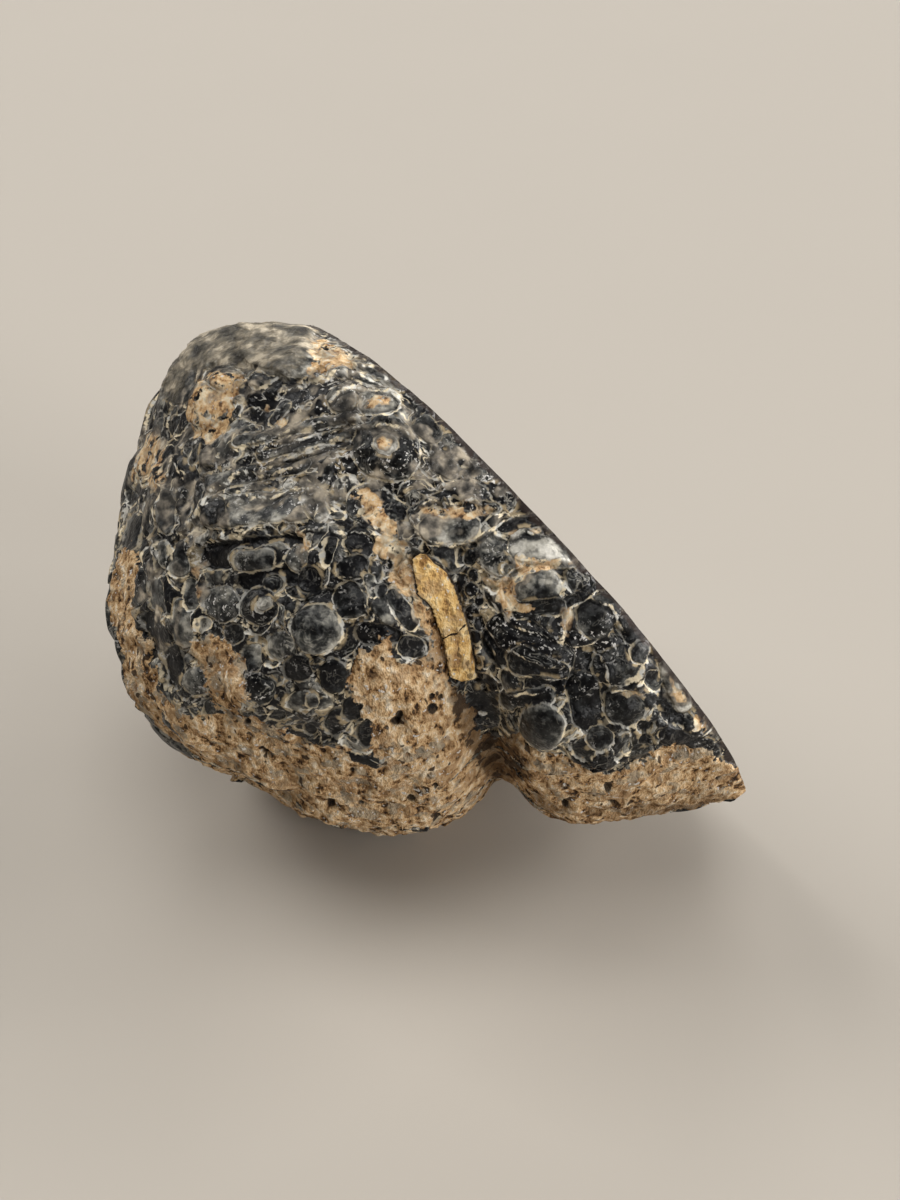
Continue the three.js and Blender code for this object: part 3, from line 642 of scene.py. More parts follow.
def stone_fields():
    """Point attributes: signed distances in mm, positive inside, and strengths from 0 to 1."""
    low_down = (UNSEEN_MATRIX_TOP - base_rest[..., 2]) * 0.4
    unseen_matrix = low_down + layers(base_stone, UNSEEN_MATRIX) - 0.6
    film = np.max([
        share * smooth(outline_depth(outline) + rough, -0.7, 0.9)
        for share, outline in FILM_PATCHES.values()
    ], axis=0)
    unseen_film = 0.8 * smooth(2.2 * noise(base_stone + FILM_SHIFT, UNSEEN_FILM_SIZE) + rough, 0.4, 2.4)
    seam = where_faced(SEEN_FROM, seam_distance() + SEAM_WOBBLE * wobble, FAR)
    pits = np.max([radius - from_pixel(x, y) for x, y, radius in PITS], axis=0)
    unseen_pit = 1.4 * noise(base_stone + PIT_SHIFT, UNSEEN_PIT_SIZE) - 0.95
    crack_x, crack_y = np.reshape(FLAKE_CRACK, (-1, 2)).T
    dust = np.max([
        share * smooth(1.3 - from_pixel(x, y) / radius, 0.0, 0.8)
        for x, y, radius, share in DUST_SPOTS.values()
    ], axis=0)
    return {
        "matrix": (patches_depth(MATRIX_PATCHES) + rough) * seen + unseen_matrix * (1.0 - seen),
        "flake": where_faced(0.0, outline_depth(FLAKE) + 0.2 * rough),
        "film": film * seen + unseen_film * (1.0 - seen),
        "seam": np.abs(seam),
        # Groove just below each seam, which the rind's material also paints black as its shadow
        "seam_gap_shadow": np.exp(-((seam - 0.5) / 0.32) ** 2),
        "seam_ridge": np.exp(-((seam + 0.3) / 0.35) ** 2),
        "flow": flow,
        "hollow": smooth(layers(base_rest * SAND_STRETCH, HOLLOWS), 0.72, 1.15),
        "pit": np.maximum(where_faced(SEEN_FROM, pits + 0.5 * wobble), unseen_pit - 3.0 * seen),
        "split": (picture[..., 1] - np.interp(picture[..., 0], crack_x, crack_y)) * PIXEL,
        "valley": where_faced(0.0, outline_depth(VALLEY)),
        "crust": where_faced(-0.1, outline_depth(CRUST)),
        "dust": dust * smooth(facing, 0.05, 0.2),
        "low": smooth(base_rest[..., 2], *LOW_STAIN_AND_SHADE_HEIGHTS) * smooth(base_stone[..., 1], *LOW_STAIN_AND_SHADE_DEPTHS),
        "cut_edge": base_stone[..., 1],
    }


# Growths

GROWTH = np.dtype([
    ("in_picture", bool), ("start", float, 3), ("end", float, 3), ("first", float), ("last", float),
    ("rise", float), ("tone", float), ("outline", float), ("rings", float),
])
BAR = ("start", "end", "first", "last")


def strewn_growths(count, sizes, stretch):
    """Growths at random places all over, fewer where it is calm, the higher over the lower ones."""
    made = []
    for _ in range(count):
        turn = random.uniform(0, 2 * math.pi)
        inward = random.uniform(0, 1)
        flat = math.sqrt(1 - inward * inward)
        place = grid_place((flat * math.cos(turn), inward, flat * math.sin(turn)))
        if random.uniform(0, 1) < calm[place]:
            continue
        centre = base_stone[place]
        tangent = np.cross(centre, random.normal(size=3))
        tangent /= np.linalg.norm(tangent)
        radius = sizes[0] + (sizes[1] - sizes[0]) * random.uniform(0, 1) ** STREWN_SMALL
        half = tangent * radius * random.uniform(0, stretch)
        kind = random.uniform(0, 1)
        tone = random.uniform(*next(tones for share, tones in STREWN_TONES if kind < share))
        last = radius * random.uniform(0.75, 1.0)
        outline = max(random.normal(*STREWN_OUTLINE), 0.0)
        rings = 0.9 if random.uniform(0, 1) < STREWN_RINGED else 0.15
        rise = random.uniform(*STREWN_RISE) + 0.12 * radius
        order = to_rest(centre)[2] + random.normal(0, STREWN_DISORDER)
        made.append((order, False, centre - half, centre + half, radius, last, rise, tone, outline, rings))
    return [row[1:] for row in sorted(made, key=lambda row: row[0])]


def picture_growths():
    for x0, y0, x1, y1, first, last, rise, tone, outline, *rings in sum(GROWTHS.values(), ()):
        ends = np.array([[x0, y0, 0.0], [x1, y1, 0.0]]) * PIXEL
        yield True, *ends, first, last, rise, tone, outline, *(rings or [0.0])


def bar_depth(place, start, end, first, last):
    """How far inside a rounded bar each place is, and the way from the bar's middle line to it."""
    axis = end - start
    length = np.maximum((axis * axis).sum(-1), TINY)
    part = np.clip(((place - start) * axis).sum(-1) / length, 0.0, 1.0)
    away = place - start - part[..., None] * axis
    distance = np.linalg.norm(away, axis=-1)
    return first + (last - first) * part - distance, away / np.maximum(distance, 1e-6)[..., None]


class Places:
    """Places on the rind, in the stone's axes and in the picture, and how far they face the camera."""

    def __init__(self, stone, in_picture, facing, wobble):
        self.side = stone.shape[0]
        self.stone = stone.reshape(-1, 3)
        self.in_picture = in_picture.reshape(-1, 3)
        self.facing = facing.ravel()
        self.wobble = wobble.ravel()
        self.seen = np.nonzero(self.facing > 0.0)[0]

    def near(self, growth):
        """Indices of the places that a growth may reach."""
        middle = (growth["start"] + growth["end"]) / 2
        half_run = growth["end"] - middle
        reach = max(growth["first"], growth["last"]) + 1.2
        if growth["in_picture"]:
            away = np.abs(self.in_picture[self.seen] - middle)
            return self.seen[(away < np.abs(half_run) + reach).all(-1)]
        half = int((reach + np.linalg.norm(half_run)) / SQUARE * 1.8) + 2
        place = grid_place(middle / np.linalg.norm(middle))
        rows, columns = (np.arange(max(n - half, 0), min(n + half, self.side)) for n in place)
        return (rows[:, None] * self.side + columns).ravel()

    def depth(self, growth, index):
        place = (self.in_picture if growth["in_picture"] else self.stone)[index]
        depth = bar_depth(place, *(growth[key] for key in BAR))[0] + self.wobble[index]
        if growth["in_picture"]:
            depth = depth - SEEN_LOSS * np.maximum(SEEN_FROM - self.facing[index], 0.0)
        return depth


def pile_height(places):
    """Relief of growths that lie over each other, in mm."""
    height = np.full(len(places.stone), -0.1)
    for growth in growths:
        index = places.near(growth)
        depth = places.depth(growth, index)
        radius = max(growth["first"], growth["last"])
        hollow = 1.0 - np.clip(depth / radius, 0.0, 1.0)
        level = growth["rise"] + GROWTH_DOME * radius * (1.0 - hollow * hollow)
        height[index] += (level - height[index]) * smooth(depth, *GROWTH_EDGE)
    return height


def pile_owners(places):
    """For each face, the growth on top, the one below it, and the one whose edge is nearest."""
    owner, below, nearest = np.full((3, len(places.stone)), -1)
    best = np.full(len(places.stone), FAR)
    for number, growth in enumerate(growths):
        index = places.near(growth)
        depth = places.depth(growth, index)
        inside = index[depth > 0]
        below[inside] = owner[inside]
        owner[inside] = nearest[inside] = number
        best[inside] = depth[depth > 0]
        beside = (depth <= 0) & (-depth < best[index])
        nearest[index[beside]] = number
        best[index[beside]] = -depth[beside]
    return owner, below, nearest


fields = stone_fields()
growths = np.array([
    *strewn_growths(STREWN_COUNT, STREWN_RADIUS, 1.3),
    *strewn_growths(BEAD_COUNT, BEAD_RADIUS, 0.8),
    *picture_growths(),
], GROWTH)


def stone_relief():
    """Height of the fine relief over the solid's form, in mm."""
    rind = pile_height(Places(base_stone, flat_picture, facing, wobble)).reshape(facing.shape)
    rind += layers(base_stone, RIND_LUMPS)
    waves = np.sin(fields["seam"] * 2 * math.pi / FLOW_STEP + 2.0 * noise(base_stone, 2.2))
    ledges = 0.35 + FLOW_HEIGHT * waves + layers(base_stone, FLOW_LUMPS)
    rind += (ledges - rind) * 0.7 * fields["flow"]
    crust = smooth(fields["crust"], 0.0, 1.5)
    rind = rind * (1.0 - 0.3 * crust) + (0.4 + layers(base_stone, CRUST_LUMPS)) * crust
    rind += SEAM_RIDGE * fields["seam_ridge"] - SEAM_GAP * fields["seam_gap_shadow"]

    lumps = layers(base_stone, MATRIX_LUMPS)
    in_matrix = smooth(fields["matrix"], -0.25, 0.35)
    height = rind + (MATRIX_LEVEL + lumps - HOLLOW_DEPTH * fields["hollow"] - rind) * in_matrix
    height -= PIT_DEPTH * smooth(fields["pit"], -0.15, 0.35) * in_matrix
    in_flake = smooth(fields["flake"], -0.1, 0.25)
    flake = FLAKE_LEVEL + 0.5 * lumps - CRACK_DEPTH * smooth(np.abs(fields["split"]), 0.25, 0.0)
    height += (flake - height) * in_flake
    height -= FLAKE_GAP * smooth(fields["flake"], -0.7, -0.15) * (1.0 - in_flake)
    height = (height + RELIEF_SHIFT) * smooth(base_rest[..., 2], 0.02, 1.2)
    return height * (0.25 + 0.75 * smooth(base_stone[..., 1], 0.0, RIM_FADE))


def corner_values(values):
    """Values at the four corners of each face, from values at the vertices."""
    return np.stack([values[r:r + GRID, c:c + GRID] for r, c in ((0, 0), (0, 1), (1, 1), (1, 0))], 2)


def growth_attributes():
    """Face-corner attributes that draw each growth's edge, tone and rings sharply."""
    corners = [corner_values(values) for values in (base_stone, flat_picture, facing, wobble)]
    owner, below, nearest = pile_owners(Places(*(values.mean(2) for values in corners)))
    in_stone, in_picture, corner_facing, corner_wobble = (
        values.reshape(len(owner), 4, *values.shape[3:]) for values in corners
    )
    loss = SEEN_LOSS * np.maximum(SEEN_FROM - corner_facing, 0.0)

    def depth_of(which):
        rows = growths[which][:, None]
        flat = rows["in_picture"]
        place = np.where(flat[..., None], in_picture, in_stone)
        depth, way = bar_depth(place, *(rows[key] for key in BAR))
        down = np.where(flat[..., None], (0.0, 1.0, 0.0), AXES @ (0.0, 0.0, -1.0))
        return depth + corner_wobble - np.where(flat, loss, 0.0), (way * down).sum(-1)

    edge, downward = depth_of(nearest)
    tones = np.append(growths["tone"], 0.02)
    return {
        "edge": np.where(nearest[:, None] >= 0, edge, -5.0),
        "tone": tones[nearest][:, None],
        "under": tones[np.where(owner == nearest, below, owner)][:, None],
        "outline": growths["outline"][nearest][:, None] * np.clip(0.8 + 0.5 * downward, 0.3, 1.0),
        # Strength of the painted shade just outside the nearest edge, strongest on the growth's upper side
        "crevice_shade": np.clip(0.75 - 0.5 * downward, 0.3, 1.0),
        "inner": np.where(owner[:, None] >= 0, depth_of(owner)[0], 0.0),
        "ring": growths["rings"][owner][:, None],
        "loose": np.where(owner >= 0, ~growths["in_picture"][owner], True)[:, None],
    }


def into_box(points, centre):
    """Points that would leave the solid's box, drawn back straight towards the centre."""
    away = points - centre
    away = np.where(np.abs(away) < TINY, TINY, away)
    limit = np.where(away > 0, np.array(cad_high) - centre, np.array(cad_low) - centre)
    return centre + away * np.minimum((limit / away).min(-1), 1.0)[:, None]


def set_values(mesh, name, domain, *values):
    attribute = mesh.attributes.new(name, "FLOAT", domain)
    joined = np.concatenate([np.ravel(part) for part in values])
    attribute.data.foreach_set("value", joined.astype(np.float32))


def stone_mesh():
    """One closed mesh: the rind over the grid, and a fan over the sawn face."""
    points = to_rest(directions * (base_radii + stone_relief())[..., None]).reshape(-1, 3) * MM
    points = np.vstack([into_box(points, FACE_CENTRE * MM), FACE_CENTRE * MM])
    middle = len(points) - 1
    numbers = np.arange(middle).reshape(facing.shape)
    quads = corner_values(numbers).reshape(-1, 4)
    rim = np.concatenate([numbers[:-1, 0], numbers[-1, :-1], numbers[:0:-1, -1], numbers[0, :0:-1]])
    fan = np.stack([np.full(len(rim), middle), rim, np.roll(rim, -1)], 1)

    mesh = bpy.data.meshes.new("geode_stone")
    mesh.from_pydata(points.tolist(), [], quads.tolist() + fan.tolist())
    mesh.materials.append(rind_material())
    mesh.materials.append(face_material())
    on_face = np.arange(len(quads) + len(fan)) >= len(quads)
    mesh.polygons.foreach_set("material_index", on_face.astype(np.int32))
    mesh.polygons.foreach_set("use_smooth", ~on_face)
    edges = np.zeros(len(mesh.edges) * 2, np.int32)
    mesh.edges.foreach_get("vertices", edges)
    mesh.edges.foreach_set("use_edge_sharp", np.isin(edges, rim).reshape(-1, 2).all(1))

    for name, values in fields.items():
        set_values(mesh, name, "POINT", values, 0.0)
    set_values(mesh, "to_middle", "POINT", np.zeros(middle), 1.0)
    for name, values in growth_attributes().items():
        set_values(mesh, name, "CORNER", np.broadcast_to(values, quads.shape), np.zeros(fan.size))
    mesh.update()
    return mesh


# Materials

def put(socket, value):
    if isinstance(value, Value):
        socket.id_data.links.new(value.socket, socket)
    else:
        socket.default_value = value


def node_value(tree, kind, inputs, output=0, **settings):
    """Value from a new node whose inputs, by place or by name, get numbers, colours or values."""
    made = tree.nodes.new("ShaderNode" + kind)
    for name, setting in settings.items():
        setattr(made, name, setting)
    for key, value in inputs.items():
        put(made.inputs[key], value)
    return Value(made.outputs[output])


class Value:
    """A number, place or colour that a material's nodes work out."""

    def __init__(self, socket):
        self.socket = socket
        self.tree = socket.id_data

    def math(self, operation, *others):
        return node_value(self.tree, "Math", dict(enumerate((self, *others))), operation=operation)

    def __add__(self, other):
        return self.math("ADD", other)

    def __sub__(self, other):
        return self.math("SUBTRACT", other)

    def __rsub__(self, other):
        return self.math("MULTIPLY_ADD", -1.0, other)

    def __mul__(self, other):
        return self.math("MULTIPLY", other)

    def __abs__(self):
        return self.math("ABSOLUTE")

    def ramp(self, low, high):
        """0 at low and 1 at high, with soft ends."""
        inputs = {"Value": self, "From Min": min(low, high), "From Max": max(low, high)}
        inputs["To Min"], inputs["To Max"] = float(low > high), float(low < high)
        return node_value(self.tree, "MapRange", inputs, interpolation_type="SMOOTHSTEP")

    def between(self, first, second):
        """Number from first to second."""
        return node_value(self.tree, "Mix", {0: self, 2: first, 3: second})

    def blend(self, first, second):
        """Colour from first to second."""
        inputs = {0: self, 6: colour(first), 7: colour(second)}
        return node_value(self.tree, "Mix", inputs, 2, data_type="RGBA")

    def colours(self, stops):
        """Colour ramp over (place, colour) stops."""
        made = node_value(self.tree, "ValToRGB", {0: self})
        elements = made.socket.node.color_ramp.elements
        while len(elements) < len(stops):
            elements.new(0.5)
        for element, (place, shade) in zip(elements, stops):
            element.position = place
            element.color = colour(shade)
        return made


def colour(value):
    return value if isinstance(value, Value) else (*value, 1.0)


class Shader:
    """A material and what its patterns start from. Places and sizes are in mm."""

    def __init__(self, name):
        self.material = bpy.data.materials.new(name)
        self.material.use_nodes = True
        self.tree = self.material.node_tree
        self.principled = self.tree.nodes["Principled BSDF"]
        metres = node_value(self.tree, "TexCoord", {}, "Object")
        self.place = node_value(self.tree, "VectorMath", {0: metres, "Scale": 1.0 / MM}, operation="SCALE")
        stretched = {0: self.place, 1: SAND_STRETCH}
        self.tall_place = node_value(self.tree, "VectorMath", stretched, operation="MULTIPLY")

    def __getitem__(self, name):
        """Value of one of the mesh's attributes."""
        return node_value(self.tree, "Attribute", {}, "Fac", attribute_name=name)

    def noise(self, size, detail=2.0, roughness=0.5, distortion=0.0, place=None):
        """Noise of the same spread whatever its detail: two thirds of it lie from 0.3 to 0.7."""
        made = node_value(self.tree, "TexNoise", {
            "Vector": place or self.place, "Scale": 1.0 / size, "Detail": detail,
            "Roughness": roughness, "Distortion": distortion,
        }, "Fac")
        heights = roughness ** np.arange(int(detail) + 1)
        spread = NOISE_SPREAD * heights.sum() / math.sqrt((heights * heights).sum())
        return made.math("MULTIPLY_ADD", spread, 0.5 - 0.5 * spread)

    def uneven(self, value, size, strength):
        return value + (self.noise(size) - 0.5) * strength

    def cells(self, size):
        """Distance to the edge of the nearest cell, in a net of warped cells."""
        warp = node_value(self.tree, "TexNoise", {"Vector": self.place, "Scale": 1.0 / size}, "Color")
        shifted = {0: warp, 1: (size, size, size), 2: self.place}
        place = node_value(self.tree, "VectorMath", shifted, operation="MULTIPLY_ADD")
        inputs = {"Vector": place, "Scale": 1.0 / size}
        return node_value(self.tree, "TexVoronoi", inputs, "Distance", feature="DISTANCE_TO_EDGE") * size

    def finish(self, base, roughness, height):
        """The material, with its bumps made from a height."""
        put(self.principled.inputs["Base Color"], base)
        put(self.principled.inputs["Roughness"], roughness)
        bump = node_value(self.tree, "Bump", {"Distance": MM, "Height": height})
        put(self.principled.inputs["Normal"], bump)
        return self.material


# Colours of the stone, as linear red, green and blue, and for some as stops along a noise or a tone
BLACK = (0.008, 0.008, 0.009)
CREAM = (0.84, 0.72, 0.51)
PALE_GREY = (0.68, 0.66, 0.60)
GREY_LINE = (0.27, 0.255, 0.22)
MORTAR = (0.42, 0.33, 0.20)
DUST = (0.66, 0.64, 0.61)
GREY_SAND = (0.33, 0.285, 0.215)
SAND_SHADE = (0.33, 0.20, 0.10)
BROWN = (0.15, 0.078, 0.034)
VALLEY_BROWN = (0.13, 0.075, 0.035)
DARK_BROWN = (0.035, 0.022, 0.015)
EDGE_BROWN = (0.045, 0.034, 0.030)
CHALCEDONY_DARK = (
    (0.0, (0.002, 0.002, 0.003)), (0.2, (0.006, 0.006, 0.006)), (0.4, (0.030, 0.031, 0.030)),
    (0.6, (0.118, 0.113, 0.098)), (1.0, (0.48, 0.46, 0.41)),
)
CHALCEDONY_LIGHT = (
    (0.0, (0.008, 0.008, 0.009)), (0.2, (0.030, 0.032, 0.033)), (0.4, (0.145, 0.143, 0.130)),
    (0.6, (0.33, 0.315, 0.27)), (1.0, (0.70, 0.67, 0.60)),
)
CRUST_COLOURS = (
    (0.08, (0.026, 0.023, 0.020)), (0.30, (0.087, 0.077, 0.060)), (0.50, (0.172, 0.149, 0.112)),
    (0.70, (0.31, 0.265, 0.198)), (0.88, (0.57, 0.49, 0.37)),
)
VEIL_COLOURS = (
    (0.10, (0.022, 0.021, 0.020)), (0.35, (0.085, 0.077, 0.066)), (0.55, (0.19, 0.167, 0.137)),
    (0.75, (0.34, 0.295, 0.23)), (1.0, (0.55, 0.47, 0.36)),
)
FILM_COLOURS = (
    (0.02, (0.10, 0.052, 0.024)), (0.20, (0.38, 0.22, 0.10)), (0.40, (0.62, 0.41, 0.21)),
    (0.60, (0.73, 0.53, 0.31)), (0.85, (0.82, 0.71, 0.51)),
)
SAND_COLOURS = (
    (0.07, (0.035, 0.020, 0.012)), (0.21, (0.18, 0.098, 0.043)), (0.35, (0.40, 0.245, 0.117)),
    (0.53, (0.59, 0.40, 0.218)), (0.75, (0.71, 0.53, 0.33)), (0.97, (0.82, 0.70, 0.53)),
)
FLAKE_COLOURS = (
    (0.06, (0.24, 0.125, 0.042)), (0.29, (0.60, 0.365, 0.130)),
    (0.55, (0.77, 0.51, 0.205)), (0.88, (0.90, 0.70, 0.39)),
)
SAWN_COLOURS = (
    (0.00, (0.45, 0.33, 0.18)), (0.035, (0.030, 0.028, 0.028)), (0.12, (0.020, 0.020, 0.023)),
    (0.16, (0.16, 0.155, 0.15)), (0.20, (0.045, 0.047, 0.052)), (0.30, (0.11, 0.115, 0.12)),
    (0.36, (0.05, 0.053, 0.058)), (0.50, (0.21, 0.21, 0.205)), (0.62, (0.12, 0.123, 0.125)),
    (0.80, (0.33, 0.32, 0.30)), (1.0, (0.46, 0.44, 0.41)),
)
SAWN_LINE = (0.40, 0.385, 0.36)
SAWN_CLOUD = (0.30, 0.27, 0.22)


def growth_rings(shader, edge):
    """Fine lines that follow the edge inside some growths."""
    turns = (shader["inner"] + shader.noise(1.6) * 0.9) * RING_RADIANS
    ring = turns.math("SINE").ramp(0.0, 0.95) * shader["ring"]
    return ring * edge.ramp(0.05, 0.3) * shader.noise(1.9).ramp(0.30, 0.65)


def growth_tone(shader, edge, inside, ring):
    """Tone of the growths: their own, clouded, and paler just inside an edge and along the rings; the pale
    band inside an edge is partly a painted highlight where the edges catch the light.
    """
    tone = inside.between(shader["under"], shader["tone"])
    cloud = (shader.noise(2.1, 3.0) - 0.5) * 2.2
    tone += cloud * (tone * 0.5 + 0.05)
    streak = shader.noise(2.8).ramp(0.42, 0.85) * shader["flow"] * shader["loose"]
    # Pale band just inside an edge: partly the growth's paler rim, partly a painted highlight
    pale_rim_and_highlight = edge.ramp(0.0, 0.12) * edge.ramp(0.85, 0.15) * shader["outline"]
    return tone + streak * 0.34 + pale_rim_and_highlight * 0.28 + ring * 0.40


def chalcedony(shader):
    """Dark growths: colour, roughness, height, where a veil leaves them free, and how it covers them."""
    edge = shader.uneven(shader["edge"], 0.5, 0.16)
    inside = edge.ramp(-0.04, 0.04)
    loose = shader["loose"]
    flow = shader["flow"] * loose
    round_loose = loose - flow
    tone = growth_tone(shader, edge, inside, growth_rings(shader, edge))
    bead_edge = shader.cells(BEAD_CELL)
    beaded = shader.noise(3.6).ramp(0.55, 0.70) * (round_loose * 0.85 + 0.15)
    tone += bead_edge.ramp(0.06, 0.12) * bead_edge.ramp(0.32, 0.15) * beaded * 0.20

    fine = shader.noise(0.8)
    stipple = (fine + tone * 0.5).ramp(0.50, 1.05)
    base = stipple.blend(tone.colours(CHALCEDONY_DARK), tone.colours(CHALCEDONY_LIGHT))
    base = (bead_edge.ramp(0.10, 0.02) * beaded * 0.85).blend(base, BLACK)
    vein = abs(shader.noise(1.1, 2.0, 0.5, 0.8) - 0.5).ramp(0.11, 0.03) * shader.noise(2.3).ramp(0.48, 0.70)
    base = (vein * (round_loose * 0.4 + 0.2)).blend(base, GREY_LINE)

    # Wavy ledges where the rind flows, painted black in their troughs as the shade under each ledge
    seam = shader.uneven(shader["seam"], 0.5, 0.2)
    bent = shader.uneven(shader.uneven(seam, 3.4, 2.6), 0.9, 0.35)
    ledge = (bent * (2 * math.pi / FLOW_STEP)).math("SINE")
    base = (ledge.ramp(-0.15, -0.85) * flow * 0.9).blend(base, BLACK)
    lip = ledge.ramp(0.84, 0.99) * shader.noise(2.2, 2.0, 0.6).ramp(0.36, 0.62) * flow * seam.ramp(7.0, 4.0)

    # Painted shade in the gaps below the growths, just outside their edges and strongest on their upper
    # sides, filled with mortar in places, and painted shadow under each seam
    crevice_shade = edge.ramp(-0.85, -0.20) * edge.ramp(0.03, -0.03) * shader["crevice_shade"]
    base = (crevice_shade * (1.0 - flow * 0.5)).blend(base, BLACK)
    mortar = edge.ramp(0.0, -0.12) * edge.ramp(-0.70, -0.30) * shader.noise(2.3).ramp(0.58, 0.74)
    base = (mortar * 0.75).blend(base, MORTAR)
    # Painted shadow in the groove below each seam
    base = (shader["seam_gap_shadow"] * 0.95).blend(base, BLACK)

    # Pale lines along edges, seams and ledges, of changing width
    width = shader.noise(1.0) * 0.20 + 0.02
    outline = (abs(edge - 0.02) - width).ramp(0.06, -0.06) * shader.noise(2.2, 2.0, 0.6).ramp(0.12, 0.42)
    outline *= shader["outline"]
    seam = (seam - width).ramp(0.08, -0.06) * shader.noise(1.8).ramp(0.22, 0.50)
    outline = outline.math("MAXIMUM", seam.math("MAXIMUM", lip * 0.8))
    base = outline.blend(base, shader.noise(1.3).ramp(0.40, 0.65).blend(CREAM, PALE_GREY))

    dusty = shader["dust"] + (shader.noise(4.5).ramp(0.52, 0.80) * 0.4 + 0.04)
    dusty *= shader.noise(0.55, 2.0, 0.7).ramp(0.74, 0.84)
    base = dusty.math("MINIMUM", 0.95).blend(base, DUST)

    roughness = stipple * 0.20 + outline * 0.25 + 0.34
    height = shader["edge"].ramp(-0.05, 0.35) * 0.20 + fine * 0.06
    height += bead_edge.ramp(0.0, 0.45) * beaded * 0.20
    free = outline.math("MAXIMUM", shader["seam_gap_shadow"])
    cover = ledge * flow * 0.17 - (inside + loose) * 0.07
    return base, roughness, height, free, cover


class Grit:
    """Noises that the grainy colours share."""

    def __init__(self, shader):
        self.grains = shader.noise(1.35, 3.0, 0.68, 0.0, shader.tall_place)
        self.shade = shader.noise(3.6, 3.0, 0.6).ramp(0.60, 0.82)
        self.grey = shader.noise(2.6, 3.0, 0.6).ramp(0.64, 0.84)
        self.hollow = shader["hollow"].ramp(0.2, 0.9)
        self.spots = shader.noise(1.3, 1.0, 0.55, 0.0, shader.tall_place).ramp(0.15, 0.07)
        self.flecks = shader.noise(0.6, 1.0).ramp(0.88, 0.96)

    def sandy(self, stops, greyed, spotted):
        """Colour of grainy matrix."""
        base = (self.shade * 0.6).blend(self.grains.colours(stops), SAND_SHADE)
        base = (self.grey * greyed).blend(base, GREY_SAND)
        base = (self.hollow * 0.7).blend(base, BROWN)
        base = (self.spots * spotted).blend(base, DARK_BROWN)
        return (self.flecks * 0.8).blend(base, DUST)


def film_over(shader, grit, base, free, cover):
    """Colour with the thin tan films and veils over it, and how far they cover it."""
    strength = shader["film"]
    tan = strength.ramp(0.40, 0.66)
    veil_colour = shader.noise(2.0, 3.0, 0.55).colours(VEIL_COLOURS)
    patchy = tan.between(shader.noise(3.2), shader.noise(1.5, 3.0, 0.62))
    film = (patchy + strength * 0.72 + cover).ramp(0.60, 0.84) * strength.ramp(0.0, 0.15)
    film *= 1.0 - free * tan.between(0.85, 0.3)
    return (film * 0.92).blend(base, tan.blend(veil_colour, grit.sandy(FILM_COLOURS, 0.5, 0.3))), film


def sand_colour(shader, grit, ragged):
    """Colour of the sandy matrix, brown and mottled in the valley and darker brown low down, each partly
    its own colour and partly painted shade.
    """
    base = grit.sandy(SAND_COLOURS, 0.7, 0.9)
    # Darker brown and mottled in the valley: partly its own brown, partly painted shade in the groove
    valley = (shader["valley"] + ragged).ramp(-0.6, 1.0)
    base = (valley * 0.75).blend(base, VALLEY_BROWN)
    mottle = shader.noise(2.4, 3.0, 0.6).ramp(0.46, 0.58) * valley.ramp(0.3, 0.75)
    base = (mottle * 0.85).blend(base, DARK_BROWN)
    # Darker brown patches low down: partly a stain, partly painted shade
    low_stain_and_shade = shader.noise(4.6, 2.0, 0.6).ramp(0.46, 0.76) * shader["low"]
    return (low_stain_and_shade * 0.8).blend(base, VALLEY_BROWN)


def rind_material():
    """Chalcedony, then crust, films, matrix and flake over it, and the dark rim of the sawn edge."""
    shader = Shader("chalcedony_rind")
    base, roughness, height, free, cover = chalcedony(shader)
    grit = Grit(shader)
    ragged = (shader.noise(0.9, 2.0, 0.62) - 0.5) * 0.9

    crust = (shader["crust"] + ragged).ramp(0.0, 0.9)
    crust_noise = shader.noise(2.6, 3.0, 0.58)
    base = (crust * 0.85).blend(base, crust_noise.colours(CRUST_COLOURS))
    height += crust_noise * shader["crust"].ramp(0.0, 0.9) * 0.35

    base, film = film_over(shader, grit, base, free, cover)
    roughness = film.between(roughness, 0.85)

    sand = (shader["matrix"] + ragged).ramp(-0.12, 0.12)
    base = sand.blend(base, sand_colour(shader, grit, ragged))
    roughness = sand.between(roughness, 0.93)
    height = shader["matrix"].ramp(-0.3, 0.2).between(height, grit.grains * 0.42)
    # Pits painted black: painted shade inside the holes
    base = (shader["pit"].ramp(-0.05, 0.12) * sand * 0.9).blend(base, BLACK)

    flake_edge = shader["flake"]
    # Dark brown band just outside the flake: painted shade in the groove round its raised edge
    base = (flake_edge.ramp(-0.34, -0.10) * flake_edge.ramp(0.04, -0.02) * 0.9).blend(base, DARK_BROWN)
    flake = flake_edge.ramp(-0.04, 0.04)
    base = flake.blend(base, grit.sandy(FLAKE_COLOURS, 0.15, 0.6))
    split = shader.uneven(abs(shader["split"]), 0.6, 0.2)
    base = (split.ramp(0.14, 0.06) * flake).blend(base, DARK_BROWN)
    roughness = flake.between(roughness, 0.85)
    height = flake.between(height, grit.grains * 0.42)

    rim = shader.uneven(shader["cut_edge"], 1.8, 0.7).ramp(0.75, 0.35) * (1.0 - sand)
    base = (rim * 0.85).blend(base, EDGE_BROWN)
    shader.principled.inputs["Specular IOR Level"].default_value = 0.16
    return shader.finish(base, rim.between(roughness, 0.3), height)


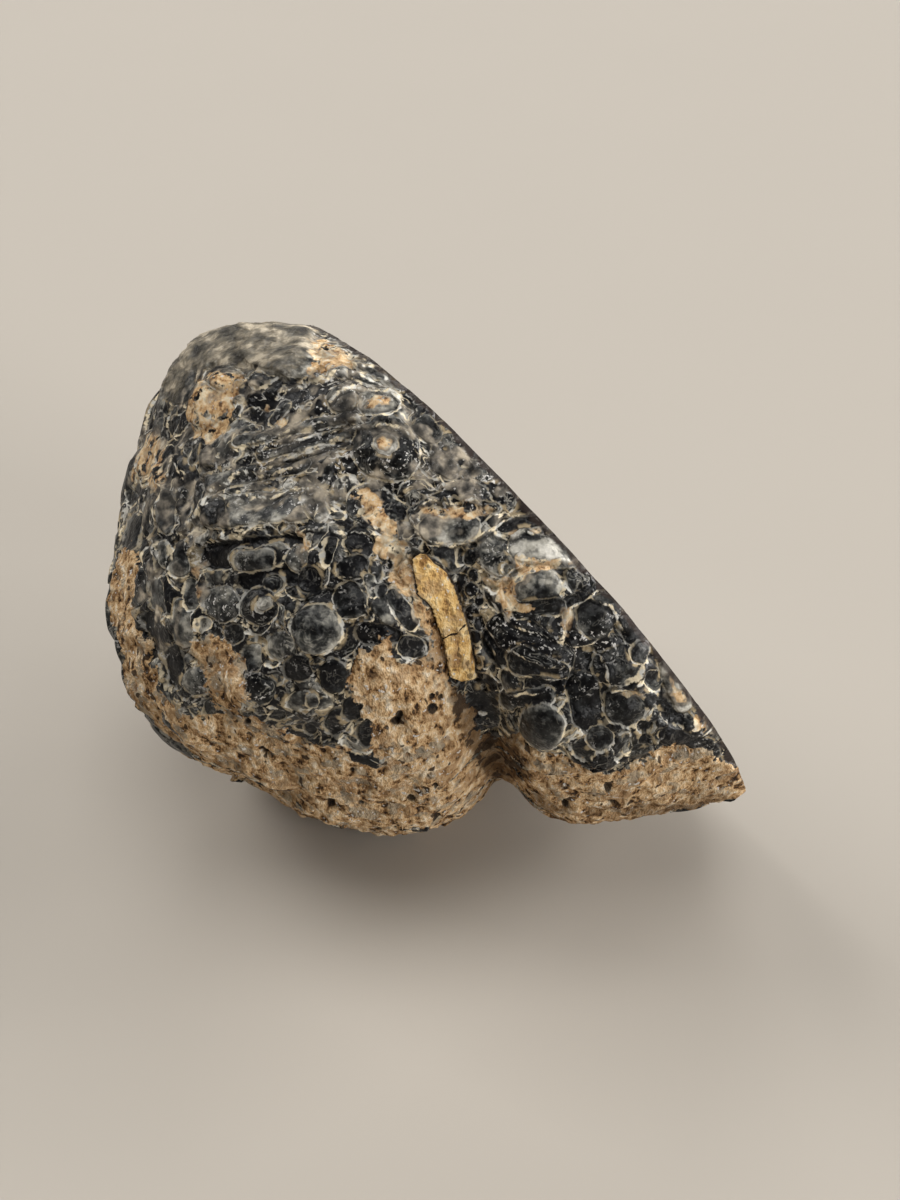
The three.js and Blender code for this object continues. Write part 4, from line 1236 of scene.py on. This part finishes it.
def face_material():
    """Sawn face: bands that follow the edge, dark at the outside and grey towards the middle."""
    shader = Shader("sawn_chalcedony")
    warp = (shader.noise(14.0, 4.0, 0.55) - 0.5) * 0.11
    place = shader["to_middle"] + (warp + (shader.noise(3.0, 3.0) - 0.5) * 0.014)
    lines = (place * SAWN_LINES).math("SINE").ramp(0.2, 1.0) * shader.noise(9.0).ramp(0.35, 0.65)
    base = (lines * 0.22).blend(place.colours(SAWN_COLOURS), SAWN_LINE)
    base = (shader.noise(5.0, 4.0, 0.6).ramp(0.5, 0.9) * 0.25).blend(base, SAWN_CLOUD)
    marks = shader.noise(0.6)
    shader.principled.inputs["IOR"].default_value = 1.54
    return shader.finish(base, marks * 0.12 + 0.10, marks * 0.004)


# Floor and light

def make_floor():
    shader = Shader("pale_floor")
    base = (shader.noise(60.0).ramp(0.2, 0.8) * 0.06).blend(FLOOR_COLOUR, FLOOR_GRAIN)
    put(shader.principled.inputs["Base Color"], base)
    shader.principled.inputs["Roughness"].default_value = 0.9
    mesh = bpy.data.meshes.new("floor")
    square = ((-1, -1), (1, -1), (1, 1), (-1, 1))
    corners = [(x * FLOOR_HALF, y * FLOOR_HALF, FLOOR_HEIGHT) for x, y in square]
    mesh.from_pydata(corners, [], [(0, 1, 2, 3)])
    mesh.materials.append(shader.material)
    add_object("floor", mesh)


def make_lights():
    for name, (place, side, power) in SOFTBOXES.items():
        data = bpy.data.lights.new(name, "AREA")
        data.shape = "SQUARE"
        data.size = side
        data.energy = power
        data.color = LIGHT_COLOUR
        light = add_object(name, data)
        light.location = place
        light.rotation_euler = Vector(FACE_CENTRE * MM - place).to_track_quat("-Z", "Y").to_euler()
    world = bpy.data.worlds.new("studio")
    world.use_nodes = True
    background = world.node_tree.nodes["Background"]
    background.inputs["Color"].default_value = (*LIGHT_COLOUR, 1.0)
    background.inputs["Strength"].default_value = SKY_STRENGTH
    bpy.context.scene.world = world


make_camera()
make_floor()
make_lights()
stone = add_object("geode_stone", stone_mesh())
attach(stone, "root")
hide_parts("geode")
bpy.context.scene.view_settings.view_transform = "Standard"
